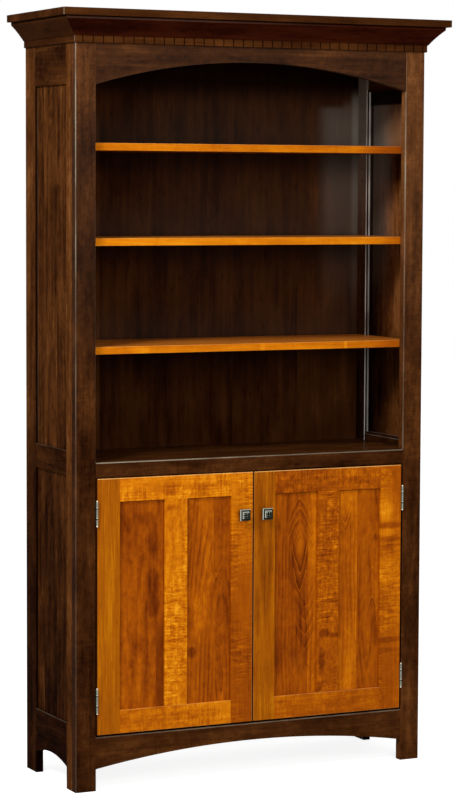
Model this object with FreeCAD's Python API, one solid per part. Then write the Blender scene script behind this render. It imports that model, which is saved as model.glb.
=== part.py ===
import FreeCAD, Part
import math
import os

# Bookcase with three open adjustable shelves over a two-door cabinet.
# Frame-and-panel sides, a face frame with arched rails, and a mitred crown with a dentil strip.
# Frame: +Z up, the doors face -Y, +X to the right of someone facing the doors.
# Origin: on the floor, under the middle of the overall box. All lengths are in millimetres.

# ------------------------------------------------------------------ driving sizes
small_rod_sides = 8                # thin rods and their holes have flats, so that facets stay few
past = 1.0                         # how far a cutter runs past the face that it opens

# Case
overall_height = 2134.0
case_width = 1080.0
case_depth = 362.0
top_board_thickness = 20.0
top_board_overhang = 56.0          # past the front and both ends; flush at the back
fixed_board_thickness = 21.0       # sub-top, fixed shelf and cabinet floor
dado_depth = 6.0                   # the fixed boards are housed in the side frames
back_panel_thickness = 8.0
back_rabbet_width = 10.0
back_panel_gap = 1.0

# Face frame
face_frame_thickness = 25.0
face_stile_width = 60.0
foot_height = 61.0                 # floor to the springing of the front and side arches
front_arch_rise = 41.0
bottom_rail_top = 149.0
door_opening_height = 716.5
mid_rail_width = 42.0
top_rail_end_width = 181.0         # top of the case down to the springing of the upper arch
upper_arch_rise = 69.0
lip_radius = 3.0                   # routed round-over along the edge of both openings
lip_corner_radius = 9.0            # the router's bearing leaves this radius in the corners
corner_arris_radius = 2.5
tenon_thickness = 8.0
tenon_shoulder = 10.0
mortise_relief = 1.0
face_tenon_length = 25.0

# Side frames
side_thickness = 21.0
side_front_stile_width = 40.0
side_rear_stile_width = 72.0
side_arch_rise = 19.0
side_bottom_rail_rise = 35.5       # its top above the top of the face frame's bottom rail
side_mid_rail_rise = 5.5           # its lower edge above that of the face frame's mid rail
side_mid_rail_width = 68.0
side_top_rail_width = 179.0
side_tenon_length = 20.0
side_panel_thickness = 6.0
panel_lip_thickness = 6.0          # the outside of the frame stands this far proud of the panel
panel_rabbet_width = 12.0
panel_expansion_gap = 1.0
panel_stop_width = 7.0
panel_stop_thickness = 6.0

# Crown and dentil strip
dentil_height = 19.5
dentil_projection = 5.0
dentil_pitch = 30.0
dentil_kerf_width = 3.0
dentil_kerf_depth = 3.5
dentil_first_block = 25.0          # left end of the strip to the middle of the first kerf
crown_projection = 43.5
crown_foot = 7.0
crown_fillet_height = 8.0          # upright band under the top board
crown_cove_sag = 1.6
crown_stock = 17.0                 # thickness of the sprung moulding
crown_height = 50.5

# Adjustable shelves and their pins
shelf_thickness = 21.0
shelf_end_clearance = 1.5
shelf_front_clearance = 2.0
shelf_back_clearance = 3.0
shelf_arris_radius = 2.0
pin_radius = 3.0
pin_hole_clearance = 0.1
pin_depth_in_side = 10.0
pin_hole_relief = 1.0
pin_stand_out = 9.0
pin_pitch = 37.0
pin_rear_inset = 33.0              # hole line to the back edge of the side
pin_front_inset = 14.0             # hole line to the back of the face frame
first_bay_row_height = 105.2       # lowest hole above the fixed shelf
last_bay_row_margin = 30.0         # least distance from the top hole to the arch springing
first_cabinet_row_height = 271.7   # lowest hole above the cabinet floor
last_cabinet_row_margin = 290.0    # least distance from the top hole to the mid rail
lower_shelf_count = 5              # hole rows below the lower shelf's own row
upper_shelf_count = 4              # hole rows above the upper shelf's own row
cabinet_shelf_count = 2            # hole rows below the cabinet shelf's own row
seat_clearance = 0.3

# Doors
door_thickness = 21.0
door_side_gap = 4.5
door_centre_gap = 3.0
door_top_gap = 2.5
door_bottom_gap = 6.0
door_stile_width = 67.0
door_rail_width = 65.0
door_mullion_width = 68.0
door_panel_recess = 7.0
door_panel_thickness = 7.0
door_groove_depth = 10.0
tongue_relief = 0.5
door_arris_radius = 1.2

# Hinges: ball-tipped butts whose leaves lie in the gap beside the door
hinge_length = 64.0
hinge_end_inset = 95.0             # end of the door to the middle of a hinge
hinge_leaf_thickness = 1.8
hinge_leaf_depth = 20.0
knuckle_radius = 3.25
knuckle_middle_length = 28.0
knuckle_gap = 0.3
barrel_face_clearance = 0.35
hinge_pin_radius = 1.5
hinge_pin_clearance = 0.05
hinge_tip_radius = 3.0
hinge_tip_neck_radius = 2.0
hinge_tip_end_radius = 1.2
hinge_tip_length = 5.4

# Knobs
knob_drop = 118.5                  # top of the door to the middle of the knob
knob_size = 32.0
knob_stand_off = 25.0              # door face to the top of the inner square
knob_head_thickness = 7.5
knob_rim_bevel = 2.6
knob_groove_outer = 26.0
knob_groove_inner = 20.0
knob_groove_depth = 2.5
knob_recess_size = 15.5
knob_recess_depth = 2.2
knob_stud_size = 3.8
knob_stud_height = 1.8
knob_stud_bevel = 0.8
knob_stud_spacing = 6.6
knob_inner_rise = 1.2
knob_post_radius = 6.0
knob_base_radius = 8.0
knob_base_thickness = 2.5
knob_screw_radius = 2.0
knob_screw_clearance = 0.1
knob_screw_hole_clearance = 0.5
knob_screw_grip = 11.0
knob_screw_head_radius = 4.4
knob_screw_head_height = 2.4

# Magnetic catch behind the tops of the doors
catch_width = 60.0
catch_depth = 18.0
catch_height = 19.0
catch_block_width = 74.0
catch_block_depth = 20.0
catch_top_gap = 1.5                # below the mid rail's lower edge
catch_pole_width = 16.0
catch_pole_height = 12.0
catch_pole_stand = 1.0
strike_width = 20.0
strike_height = 16.0
strike_thickness = 1.2
strike_centre = 17.0               # middle of the case to the middle of a strike plate
strike_gap = 0.4

# ------------------------------------------------------------------ places worked out from them
case_half = case_width / 2
y_face = (top_board_overhang - case_depth) / 2
y_back = y_face + case_depth
y_frame_back = y_face + face_frame_thickness
y_back_panel = y_back - back_panel_thickness
z_case_top = overall_height - top_board_thickness

opening_half = case_half - face_stile_width
mid_rail_bottom = bottom_rail_top + door_opening_height
mid_rail_top = mid_rail_bottom + mid_rail_width
upper_arch_springing = z_case_top - top_rail_end_width
side_bottom_rail_top = bottom_rail_top + side_bottom_rail_rise
side_mid_rail_bottom = mid_rail_bottom + side_mid_rail_rise
side_mid_rail_top = side_mid_rail_bottom + side_mid_rail_width
side_top_rail_bottom = z_case_top - side_top_rail_width

x_out = -case_half
x_in = x_out + side_thickness
y_side_front = y_frame_back + side_front_stile_width
y_side_rear = y_back - side_rear_stile_width

pin_hole_radius = pin_radius + pin_hole_clearance
y_pin_lines = (y_frame_back + pin_front_inset, y_back - pin_rear_inset)

door_hinge_edge = opening_half - door_side_gap
door_lock_edge = door_centre_gap / 2
door_bottom = bottom_rail_top + door_bottom_gap
door_top = mid_rail_bottom - door_top_gap
door_outer_line = door_hinge_edge - door_stile_width
door_inner_line = door_lock_edge + door_stile_width
door_middle = (door_outer_line + door_inner_line) / 2
x_knob = door_lock_edge + door_stile_width / 2
z_knob = door_top - knob_drop
x_hinge = opening_half - door_side_gap / 2
y_hinge = y_face - knuckle_radius - barrel_face_clearance
z_hinges = (door_bottom + hinge_end_inset, door_top - hinge_end_inset)


# ------------------------------------------------------------------ helpers
def vec(x, y, z):
    return FreeCAD.Vector(x, y, z)


def block(x0, x1, y0, y1, z0, z1):
    """Rectangular solid between two values on each axis."""
    corner = vec(min(x0, x1), min(y0, y1), min(z0, z1))
    return Part.makeBox(abs(x1 - x0), abs(y1 - y0), abs(z1 - z0), corner)


def prism(points, direction):
    """Solid from a closed polygon pushed along a vector."""
    outline = Part.makePolygon(points + points[:1])
    return Part.Face(outline).extrude(direction)


def rod(radius, start, direction, length):
    return Part.makeCylinder(radius, length, start, direction)


def flatted_ring(radius, centre, direction):
    """Corners of a regular polygon about an axis that runs along X, Y or Z."""
    across = vec(direction.z, direction.x, direction.y)
    upward = direction.cross(across)
    ring = []
    for step in range(small_rod_sides):
        angle = (step + 0.5) * 2 * math.pi / small_rod_sides
        ring.append(centre + across * (radius * math.cos(angle)) + upward * (radius * math.sin(angle)))
    return ring


def flatted_rod(radius, start, direction, length):
    """Thin rod with flats in place of its round wall; the radius reaches the corners."""
    return prism(flatted_ring(radius, start, direction), direction * length)


def flatted_bore(radius, start, direction, length):
    """Cutter whose flats stay clear of a round rod of this radius."""
    corner_radius = radius / math.cos(math.pi / small_rod_sides)
    return flatted_rod(corner_radius, start, direction, length)


def flatted_turning(stations, start, direction):
    """Small turned shape with flats, through (radius, distance along the axis) stations."""
    rings = [flatted_ring(radius, start + direction * along, direction) for radius, along in stations]
    faces = [Part.Face(Part.makePolygon(ring + ring[:1])) for ring in (rings[0], rings[-1])]
    for low, high in zip(rings, rings[1:]):
        for a in range(small_rod_sides):
            b = (a + 1) % small_rod_sides
            corners = [low[a], low[b], high[b], high[a], low[a]]
            faces.append(Part.Face(Part.makePolygon(corners)))
    solid = Part.Solid(Part.Shell(faces))
    if solid.Volume < 0:
        solid.reverse()
    return solid


def mirrored(shape):
    """The same piece on the other side of the middle plane X = 0."""
    return shape.mirror(vec(0, 0, 0), vec(1, 0, 0))


def round_edges(shape, radius, wanted):
    """Fillet the edges for which wanted(middle point, direction) is true."""
    chosen = []
    for edge in shape.Edges:
        middle = edge.valueAt((edge.FirstParameter + edge.LastParameter) / 2)
        ends = edge.Vertexes[-1].Point - edge.Vertexes[0].Point
        if wanted(middle, ends):
            chosen.append(edge)
    return shape.makeFillet(radius, chosen)


def near(a, b):
    return abs(a - b) < 0.01


def save(name, shape):
    if isinstance(shape, list):
        shape = Part.makeCompound(shape)
    shape.exportStep("parts/" + name + ".step")


def save_pair(name, shape):
    """Save a left-hand piece and its mirror image; {} in the name takes the side."""
    solids = shape if isinstance(shape, list) else [shape]
    save(name.format("left"), shape)
    save(name.format("right"), [mirrored(solid) for solid in solids])


# ------------------------------------------------------------------ face frame
def arched_plate(half, z_spring, rise, z_edge, y0, y1):
    """Board in the XZ plane between a straight edge and an arch that springs at +-half."""
    left = vec(-half, y0, z_spring)
    right = vec(half, y0, z_spring)
    arch = Part.Arc(left, vec(0, y0, z_spring + rise), right).toShape()
    sides = [
        Part.makeLine(right, vec(half, y0, z_edge)),
        Part.makeLine(vec(half, y0, z_edge), vec(-half, y0, z_edge)),
        Part.makeLine(vec(-half, y0, z_edge), left),
    ]
    return Part.Face(Part.Wire([arch] + sides)).extrude(vec(0, y1 - y0, 0))


def routed_lip(opening):
    """Cutter for the round-over that a router leaves around the front of an opening."""
    rounded = round_edges(opening, lip_corner_radius, lambda middle, ends: not near(ends.y, 0))
    layer = block(-case_half, case_half, y_face, y_face + lip_radius + past, 0, z_case_top)
    plate = layer.cut(rounded)

    def on_front_lip(middle, ends):
        inside = abs(middle.x) < opening_half + past and past < middle.z < z_case_top - past
        return near(middle.y, y_face) and inside

    return layer.cut(round_edges(plate, lip_radius, on_front_lip))


def face_tenons(z0, z1, relief=0.0):
    """Both end tenons of a face-frame rail, or the mortises for them when relief is given."""
    y0 = y_face + (face_frame_thickness - tenon_thickness) / 2
    reach = opening_half + face_tenon_length + relief
    z_low = z0 + tenon_shoulder
    z_high = z1 - tenon_shoulder
    return [
        block(side * opening_half, side * reach, y0, y0 + tenon_thickness, z_low, z_high)
        for side in (-1, 1)
    ]


def make_face_frame():
    rails = {
        "face_frame_top_rail": (upper_arch_springing, z_case_top),
        "face_frame_mid_rail": (mid_rail_bottom, mid_rail_top),
        "face_frame_bottom_rail": (foot_height, bottom_rail_top),
    }
    blanks = {
        "face_frame_top_rail": arched_plate(
            opening_half, upper_arch_springing, upper_arch_rise, z_case_top, y_face, y_frame_back),
        "face_frame_mid_rail": block(
            -opening_half, opening_half, y_face, y_frame_back, mid_rail_bottom, mid_rail_top),
        "face_frame_bottom_rail": arched_plate(
            opening_half, foot_height, front_arch_rise, bottom_rail_top, y_face, y_frame_back),
    }
    shelf_opening = arched_plate(
        opening_half, upper_arch_springing, upper_arch_rise, mid_rail_top,
        y_face - past, y_frame_back + past)
    door_opening = block(
        -opening_half, opening_half, y_face - past, y_frame_back + past,
        bottom_rail_top, mid_rail_bottom)
    lips = [routed_lip(shelf_opening), routed_lip(door_opening)]

    mortises = []
    for name, (z0, z1) in rails.items():
        rail = blanks[name].fuse(face_tenons(z0, z1)).removeSplitter()
        mortises += face_tenons(z0, z1, mortise_relief)
        save(name, rail.cut(lips))

    stile = block(-case_half, -opening_half, y_face, y_frame_back, 0, z_case_top)
    stile = round_edges(
        stile, corner_arris_radius,
        lambda middle, ends: near(middle.x, -case_half) and near(middle.y, y_face))
    save_pair("face_frame_{}_stile", stile.cut(mortises + lips))


# ------------------------------------------------------------------ side frames
def side_rail_tenons(z0, z1, relief=0.0):
    """End tenons of a side rail, in line with the panel, or their mortises."""
    x0 = x_out + panel_lip_thickness
    z_low = z0 + tenon_shoulder + panel_rabbet_width / 2
    z_high = z1 - tenon_shoulder - panel_rabbet_width / 2
    reach = side_tenon_length + relief
    return [
        block(x0, x0 + tenon_thickness, y_side_front - reach, y_side_front, z_low, z_high),
        block(x0, x0 + tenon_thickness, y_side_rear, y_side_rear + reach, z_low, z_high),
    ]


def panel_opening(z0, z1, grow, x0, x1):
    """Box over a side panel's opening, grown past it by the same amount all round."""
    return block(x0, x1, y_side_front - grow, y_side_rear + grow, z0 - grow, z1 + grow)


def side_panel_spans():
    return {
        "upper": (side_mid_rail_top, side_top_rail_bottom),
        "lower": (side_bottom_rail_top, side_mid_rail_bottom),
    }


def fixed_board_levels():
    """Bottom and top of the sub-top, the fixed shelf and the cabinet floor."""
    return {
        "sub_top": (z_case_top - fixed_board_thickness, z_case_top),
        "fixed_shelf": (mid_rail_top - fixed_board_thickness, mid_rail_top),
        "cabinet_floor": (bottom_rail_top - fixed_board_thickness, bottom_rail_top),
    }


def pin_rows(first, limit):
    """Heights of the hole rows from the first one up to a limit."""
    count = int((limit - first) / pin_pitch) + 1
    return [first + row * pin_pitch for row in range(max(count, 1))]


bay_rows = pin_rows(
    mid_rail_top + first_bay_row_height, upper_arch_springing - last_bay_row_margin)
cabinet_rows = pin_rows(
    bottom_rail_top + first_cabinet_row_height, mid_rail_bottom - last_cabinet_row_margin)


def pin_holes(y):
    depth = pin_depth_in_side + pin_hole_relief
    return [
        flatted_bore(pin_hole_radius, vec(x_in - depth, y, z), vec(1, 0, 0), depth + past)
        for z in bay_rows + cabinet_rows
    ]


def make_side():
    pockets = [
        panel_opening(z0, z1, panel_rabbet_width, x_out + panel_lip_thickness, x_in + past)
        for z0, z1 in side_panel_spans().values()
    ]
    dados = [
        block(x_in - dado_depth, x_in + past, y_frame_back - past, y_back_panel, z0, z1)
        for z0, z1 in fixed_board_levels().values()
    ]
    rails = {
        "top": (side_top_rail_bottom, z_case_top),
        "mid": (side_mid_rail_bottom, side_mid_rail_top),
        "bottom": (foot_height, side_bottom_rail_top),
    }
    mortises = []
    for name, (z0, z1) in rails.items():
        rail = block(x_out, x_in, y_side_front, y_side_rear, z0, z1)
        if name == "bottom":
            rail = rail.cut(side_arch())
        rail = rail.fuse(side_rail_tenons(z0, z1)).removeSplitter()
        mortises += side_rail_tenons(z0, z1, mortise_relief)
        save_pair("{}_side_" + name + "_rail", rail.cut(pockets + dados))

    front = block(x_out, x_in, y_frame_back, y_side_front, 0, z_case_top)
    front = front.cut(pockets + dados + mortises + pin_holes(y_pin_lines[0]))
    save_pair("{}_side_front_stile", front)

    rear = block(x_out, x_in, y_side_rear, y_back, 0, z_case_top)
    back_rabbet = block(
        x_in - back_rabbet_width, x_in + past, y_back_panel, y_back + past,
        bottom_rail_top - fixed_board_thickness - back_panel_gap, z_case_top + past)
    rear = rear.cut(pockets + dados + mortises + [back_rabbet] + pin_holes(y_pin_lines[1]))
    save_pair("{}_side_rear_stile", rear)

    x_panel = x_out + panel_lip_thickness
    stops = []
    for name, (z0, z1) in side_panel_spans().items():
        grow = panel_rabbet_width - panel_expansion_gap
        panel = panel_opening(z0, z1, grow, x_panel, x_panel + side_panel_thickness)
        save_pair("{}_side_" + name + "_panel", panel)
        stops += panel_stops(z0, z1, x_panel + side_panel_thickness)
    save("side_panel_stops", stops + [mirrored(stop) for stop in stops])


def side_arch():
    """Cutter for the arch under a side's bottom rail."""
    front = vec(x_out - past, y_side_front, foot_height)
    rear = vec(x_out - past, y_side_rear, foot_height)
    crown = vec(x_out - past, (y_side_front + y_side_rear) / 2, foot_height + side_arch_rise)
    outline = Part.Wire([Part.Arc(front, crown, rear).toShape(), Part.makeLine(rear, front)])
    return Part.Face(outline).extrude(vec(side_thickness + 2 * past, 0, 0))


def panel_stops(z0, z1, x0):
    """Four strips that hold a panel in its rabbet from the inside."""
    x1 = x0 + panel_stop_thickness
    ya = y_side_front - panel_rabbet_width
    yb = y_side_rear + panel_rabbet_width
    za = z0 - panel_rabbet_width
    zb = z1 + panel_rabbet_width
    wide = panel_stop_width
    return [
        block(x0, x1, ya, ya + wide, za, zb),
        block(x0, x1, yb - wide, yb, za, zb),
        block(x0, x1, ya + wide, yb - wide, za, za + wide),
        block(x0, x1, ya + wide, yb - wide, zb - wide, zb),
    ]


# ------------------------------------------------------------------ fixed boards and back
def make_fixed_boards():
    half = -x_in + dado_depth
    for name, (z0, z1) in fixed_board_levels().items():
        save(name, block(-half, half, y_frame_back, y_back_panel, z0, z1))
    panel_half = -x_in + back_rabbet_width - back_panel_gap
    z_low = bottom_rail_top - fixed_board_thickness
    save("back_panel", block(-panel_half, panel_half, y_back_panel, y_back, z_low, z_case_top))


# ------------------------------------------------------------------ crown
def along_case(profile, side):
    """Run a moulding profile, given as (out from the case, height) points and an optional arc
    point, along the front or the left end of the case, mitred at the front corners."""
    reach = case_half + top_board_overhang
    if side == "front":
        place = lambda out, z: vec(-reach, y_face - out, z)
        run = vec(2 * reach, 0, 0)
    else:
        place = lambda out, z: vec(-case_half - out, y_face - top_board_overhang, z)
        run = vec(0, case_depth + top_board_overhang, 0)
    edges = []
    for start, through, end in profile:
        if through:
            edges.append(Part.Arc(place(*start), place(*through), place(*end)).toShape())
        else:
            edges.append(Part.makeLine(place(*start), place(*end)))
    bar = Part.Face(Part.Wire(edges)).extrude(run)
    return bar.common(mitre_wedge(side))


def mitre_wedge(side):
    """The part of the plan that belongs to the front moulding, or to the left one."""
    far = case_half + case_depth + top_board_overhang
    corner = vec(-case_half, y_face, 0)
    tip = corner + vec(-far, -far, 0)
    if side == "front":
        other = vec(case_half, y_face, 0)
        points = [corner, tip, other + vec(far, -far, 0), other]
    else:
        points = [corner, tip, vec(-case_half - far, y_back, 0), vec(-case_half, y_back, 0)]
    return prism(points, vec(0, 0, overall_height))


def polygon_edges(points):
    """Straight profile edges through the points, closed."""
    return [(a, None, b) for a, b in zip(points, points[1:] + points[:1])]


def make_crown():
    z_foot = z_case_top - crown_height
    z_slope_top = z_case_top - crown_fillet_height
    foot = (crown_foot, z_foot)
    top = (crown_projection, z_slope_top)
    run = crown_projection - crown_foot
    climb = z_slope_top - z_foot
    slope = (run ** 2 + climb ** 2) ** 0.5
    cove = (
        (foot[0] + top[0]) / 2 - crown_cove_sag * climb / slope,
        (foot[1] + top[1]) / 2 + crown_cove_sag * run / slope,
    )
    back = crown_stock * slope / run
    profile = [
        ((0, z_foot), None, foot),
        (foot, cove, top),
        (top, None, (crown_projection, z_case_top)),
        ((crown_projection, z_case_top), None, (crown_stock, z_case_top)),
        ((crown_stock, z_case_top), None, (0, z_foot + back)),
        ((0, z_foot + back), None, (0, z_foot)),
    ]
    save("crown_front", along_case(profile, "front"))
    save_pair("crown_{}", along_case(profile, "left"))

    z_strip = z_foot - dentil_height
    ease = dentil_projection / 4
    strip = polygon_edges([
        (0, z_strip), (dentil_projection - ease, z_strip),
        (dentil_projection, z_strip + ease), (dentil_projection, z_foot), (0, z_foot)])
    front = along_case(strip, "front")
    strip_half = case_half + dentil_projection
    kerfs = []
    x = -strip_half + dentil_first_block
    while x < strip_half - dentil_kerf_width:
        y_cut = y_face - dentil_projection
        half = dentil_kerf_width / 2
        kerfs.append(block(x - half, x + half, y_cut - past, y_cut + dentil_kerf_depth,
                           z_strip - past, z_foot + past))
        x += dentil_pitch
    save("dentil_front", front.cut(kerfs))
    save_pair("dentil_{}", along_case(strip, "left"))


def make_top_board():
    half = case_half + top_board_overhang
    board = block(-half, half, y_face - top_board_overhang, y_back, z_case_top, overall_height)

    def outer_arris(middle, ends):
        front = near(middle.y, y_face - top_board_overhang)
        end = near(abs(middle.x), half)
        return (front or end) and near(ends.z, 0)

    save("top_board", round_edges(board, shelf_arris_radius / 2, outer_arris))


# ------------------------------------------------------------------ adjustable shelves
def shelf_on(row_z):
    half = -x_in - shelf_end_clearance
    y0 = y_frame_back + shelf_front_clearance
    y1 = y_back_panel - shelf_back_clearance
    z0 = row_z + pin_radius + seat_clearance
    board = block(-half, half, y0, y1, z0, z0 + shelf_thickness)
    return round_edges(
        board, shelf_arris_radius,
        lambda middle, ends: near(middle.y, y0) and not near(ends.x, 0))


def shelf_pin(y, z):
    length = pin_depth_in_side + pin_stand_out
    return flatted_rod(pin_radius, vec(x_in - pin_depth_in_side, y, z), vec(1, 0, 0), length)


def make_shelves():
    upper = len(bay_rows) - 1 - upper_shelf_count
    rows = {
        "lower_shelf": bay_rows[lower_shelf_count],
        "middle_shelf": bay_rows[(lower_shelf_count + upper + 1) // 2],
        "upper_shelf": bay_rows[upper],
        "cabinet_shelf": cabinet_rows[cabinet_shelf_count],
    }
    pins = []
    for name, row_z in rows.items():
        save(name, shelf_on(row_z))
        for y in y_pin_lines:
            pins.append(shelf_pin(y, row_z))
    save("shelf_pins", pins + [mirrored(pin) for pin in pins])


# ------------------------------------------------------------------ doors
def door_groove(x0, x1, z0, z1):
    """Panel groove, at the panel's depth in the door."""
    y0 = y_face + door_panel_recess
    return block(x0, x1, y0, y0 + door_panel_thickness, z0, z1)


def door_board(x0, x1, z0, z1):
    return block(x0, x1, y_face, y_face + door_thickness, z0, z1)


def ease_outer(shape):
    """Soften the front arrises on the outside of the door."""
    def outer(middle, ends):
        on_end = near(middle.z, door_top) or near(middle.z, door_bottom)
        on_side = near(middle.x, -door_hinge_edge) or near(middle.x, -door_lock_edge)
        return near(middle.y, y_face) and (on_end or on_side)
    return round_edges(shape, door_arris_radius, outer)


def make_door():
    """The left door; the right one is its mirror image."""
    tongue = door_groove_depth - tongue_relief
    xa = -door_outer_line
    xb = -door_inner_line
    za = door_bottom + door_rail_width
    zb = door_top - door_rail_width
    ma = -door_middle - door_mullion_width / 2
    mb = -door_middle + door_mullion_width / 2
    deep = door_groove_depth

    hinge_stile = ease_outer(door_board(-door_hinge_edge, xa, door_bottom, door_top))
    hinge_stile = hinge_stile.cut(
        door_groove(xa - deep, xa + past, door_bottom - past, door_top + past))
    save_pair("{}_door_hinge_stile", hinge_stile)

    lock_stile = ease_outer(door_board(xb, -door_lock_edge, door_bottom, door_top))
    screw_hole = flatted_bore(
        knob_screw_radius + knob_screw_hole_clearance, vec(-x_knob, y_face - past, z_knob),
        vec(0, 1, 0), door_thickness + 2 * past)
    groove = door_groove(xb - past, xb + deep, door_bottom - past, door_top + past)
    lock_stile = lock_stile.cut([groove, screw_hole])
    save_pair("{}_door_lock_stile", lock_stile)

    ends = {
        "bottom": (door_bottom, za, za - deep, za + past),
        "top": (zb, door_top, zb - past, zb + deep),
    }
    for name, (z0, z1, groove_low, groove_high) in ends.items():
        rail = ease_outer(door_board(xa, xb, z0, z1))
        rail = rail.fuse(door_groove(xa - tongue, xb + tongue, z0, z1)).removeSplitter()
        rail = rail.cut(door_groove(xa - deep, xb + deep, groove_low, groove_high))
        save_pair("{}_door_" + name + "_rail", rail)

    mullion = door_board(ma, mb, za, zb).fuse(door_groove(ma, mb, za - tongue, zb + tongue))
    mullion = mullion.removeSplitter().cut([
        door_groove(ma - past, ma + deep, za - deep, zb + deep),
        door_groove(mb - deep, mb + past, za - deep, zb + deep)])
    save_pair("{}_door_mullion", mullion)

    hold = door_groove_depth - panel_expansion_gap
    panels = [
        door_groove(x0 - hold, x1 + hold, za - hold, zb + hold)
        for x0, x1 in ((xa, ma), (mb, xb))
    ]
    save_pair("{}_door_panels", panels)


# ------------------------------------------------------------------ hinges
def knuckle(z0, z1):
    return rod(knuckle_radius, vec(-x_hinge, y_hinge, z0), vec(0, 0, 1), z1 - z0)


def hinge_leaf(z_mid, x0, x1, knuckles):
    """A leaf plate from x0 to x1 with its share of the barrel, bored for the pin."""
    half = hinge_length / 2
    y_plate = y_face + barrel_face_clearance
    leaf = block(x0, x1, y_plate, y_plate + hinge_leaf_depth, z_mid - half, z_mid + half)
    for z0, z1 in knuckles:
        neck = block(x0, x1, y_hinge, y_plate + past, z0, z1)
        leaf = leaf.fuse([knuckle(z0, z1), neck])
    bore = flatted_bore(
        hinge_pin_radius + hinge_pin_clearance, vec(-x_hinge, y_hinge, z_mid - half - past),
        vec(0, 0, 1), hinge_length + 2 * past)
    return leaf.removeSplitter().cut(bore)


def hinge_pin(z_mid):
    """Pin with a ball-like tip at each end of the barrel."""
    half = hinge_length / 2
    tip = [
        (hinge_tip_neck_radius, 0),
        (hinge_tip_radius, hinge_tip_length * 0.35),
        (hinge_tip_radius, hinge_tip_length * 0.65),
        (hinge_tip_end_radius, hinge_tip_length),
    ]
    below = [(radius, -half - along) for radius, along in reversed(tip)]
    above = [(radius, half + along) for radius, along in tip]
    shank = [(hinge_pin_radius, -half), (hinge_pin_radius, half)]
    return flatted_turning(below + shank + above, vec(-x_hinge, y_hinge, z_mid), vec(0, 0, 1))


def make_hinges():
    frame_leaves = []
    door_leaves = []
    pins = []
    inner = knuckle_middle_length / 2
    half = hinge_length / 2
    for z in z_hinges:
        frame_leaves.append(hinge_leaf(
            z, -opening_half, -opening_half + hinge_leaf_thickness,
            [(z - half, z - inner - knuckle_gap), (z + inner + knuckle_gap, z + half)]))
        door_leaves.append(hinge_leaf(
            z, -door_hinge_edge - hinge_leaf_thickness, -door_hinge_edge,
            [(z - inner, z + inner)]))
        pins.append(hinge_pin(z))
    save("hinge_frame_leaves", frame_leaves + [mirrored(leaf) for leaf in frame_leaves])
    save_pair("{}_door_hinge_leaves", door_leaves)
    save("hinge_pins", pins + [mirrored(pin) for pin in pins])


# ------------------------------------------------------------------ knobs
def square_plate(size, y0, y1):
    """Square plate centred on the knob, between two depths in front of the door."""
    half = size / 2
    return block(-x_knob - half, -x_knob + half, y_face - y0, y_face - y1,
                 z_knob - half, z_knob + half)


def make_knob():
    """Square knob: bevelled rim, groove, raised inner square, recess with four studs."""
    crest = knob_stand_off - knob_inner_rise
    back = crest - knob_head_thickness
    head = square_plate(knob_size, back, crest)
    head = head.makeChamfer(knob_rim_bevel, [
        edge for edge in head.Edges
        if near(edge.CenterOfMass.y, y_face - crest)])
    ring = square_plate(knob_groove_outer, crest - knob_groove_depth, crest + past)
    ring = ring.cut(square_plate(knob_groove_inner, crest - knob_groove_depth, crest + past))
    head = head.cut(ring)
    raised = square_plate(knob_groove_inner, crest - past, knob_stand_off)
    head = head.fuse(raised).removeSplitter()
    floor = knob_stand_off - knob_recess_depth
    head = head.cut(square_plate(knob_recess_size, floor, knob_stand_off + past))
    studs = []
    for column in (-1, 1):
        for row in (-1, 1):
            stud = square_plate(knob_stud_size, floor, floor + knob_stud_height)
            stud = stud.makeChamfer(knob_stud_bevel, [
                edge for edge in stud.Edges
                if near(edge.CenterOfMass.y, y_face - floor - knob_stud_height)])
            shift = knob_stud_spacing / 2
            studs.append(stud.translated(vec(column * shift, 0, row * shift)))
    towards = vec(0, -1, 0)
    post = rod(knob_post_radius, vec(-x_knob, y_face, z_knob), towards, back + past)
    base = rod(knob_base_radius, vec(-x_knob, y_face, z_knob), towards, knob_base_thickness)
    knob = head.fuse(studs + [post, base]).removeSplitter()
    bore = flatted_bore(
        knob_screw_radius + knob_screw_clearance, vec(-x_knob, y_face + past, z_knob),
        towards, knob_screw_grip + 2 * past)
    save_pair("{}_door_knob", knob.cut(bore))

    y_inside = y_face + door_thickness
    shank = flatted_rod(knob_screw_radius, vec(-x_knob, y_inside, z_knob), towards,
                        door_thickness + knob_screw_grip)
    screw_head = flatted_rod(knob_screw_head_radius, vec(-x_knob, y_inside, z_knob),
                             vec(0, 1, 0), knob_screw_head_height)
    save_pair("{}_door_knob_screw", shank.fuse(screw_head).removeSplitter())


# ------------------------------------------------------------------ catch
def make_catch():
    y_strike = y_face + door_thickness
    strike = block(
        -strike_centre - strike_width / 2, -strike_centre + strike_width / 2,
        y_strike, y_strike + strike_thickness,
        door_top - strike_height - tongue_relief, door_top - tongue_relief)
    save_pair("{}_door_strike", strike)

    y_pole = y_strike + strike_thickness + strike_gap
    y_body = y_pole + catch_pole_stand
    z_top = mid_rail_bottom - catch_top_gap
    body = block(-catch_width / 2, catch_width / 2, y_body, y_body + catch_depth,
                 z_top - catch_height, z_top)
    z_pole = door_top - tongue_relief - strike_height / 2
    poles = [
        block(side * strike_centre - catch_pole_width / 2,
              side * strike_centre + catch_pole_width / 2,
              y_pole, y_body + past, z_pole - catch_pole_height / 2,
              z_pole + catch_pole_height / 2)
        for side in (-1, 1)
    ]
    save("door_catch", body.fuse(poles).removeSplitter())
    save("catch_block", block(
        -catch_block_width / 2, catch_block_width / 2, y_frame_back,
        y_frame_back + catch_block_depth, z_top, mid_rail_top - fixed_board_thickness))


os.makedirs("parts", exist_ok=True)
make_face_frame()
make_side()
make_fixed_boards()
make_crown()
make_top_board()
make_shelves()
make_door()
make_hinges()
make_knob()
make_catch()
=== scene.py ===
import math

import bmesh
import bpy
from mathutils import Matrix, Vector


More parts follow.
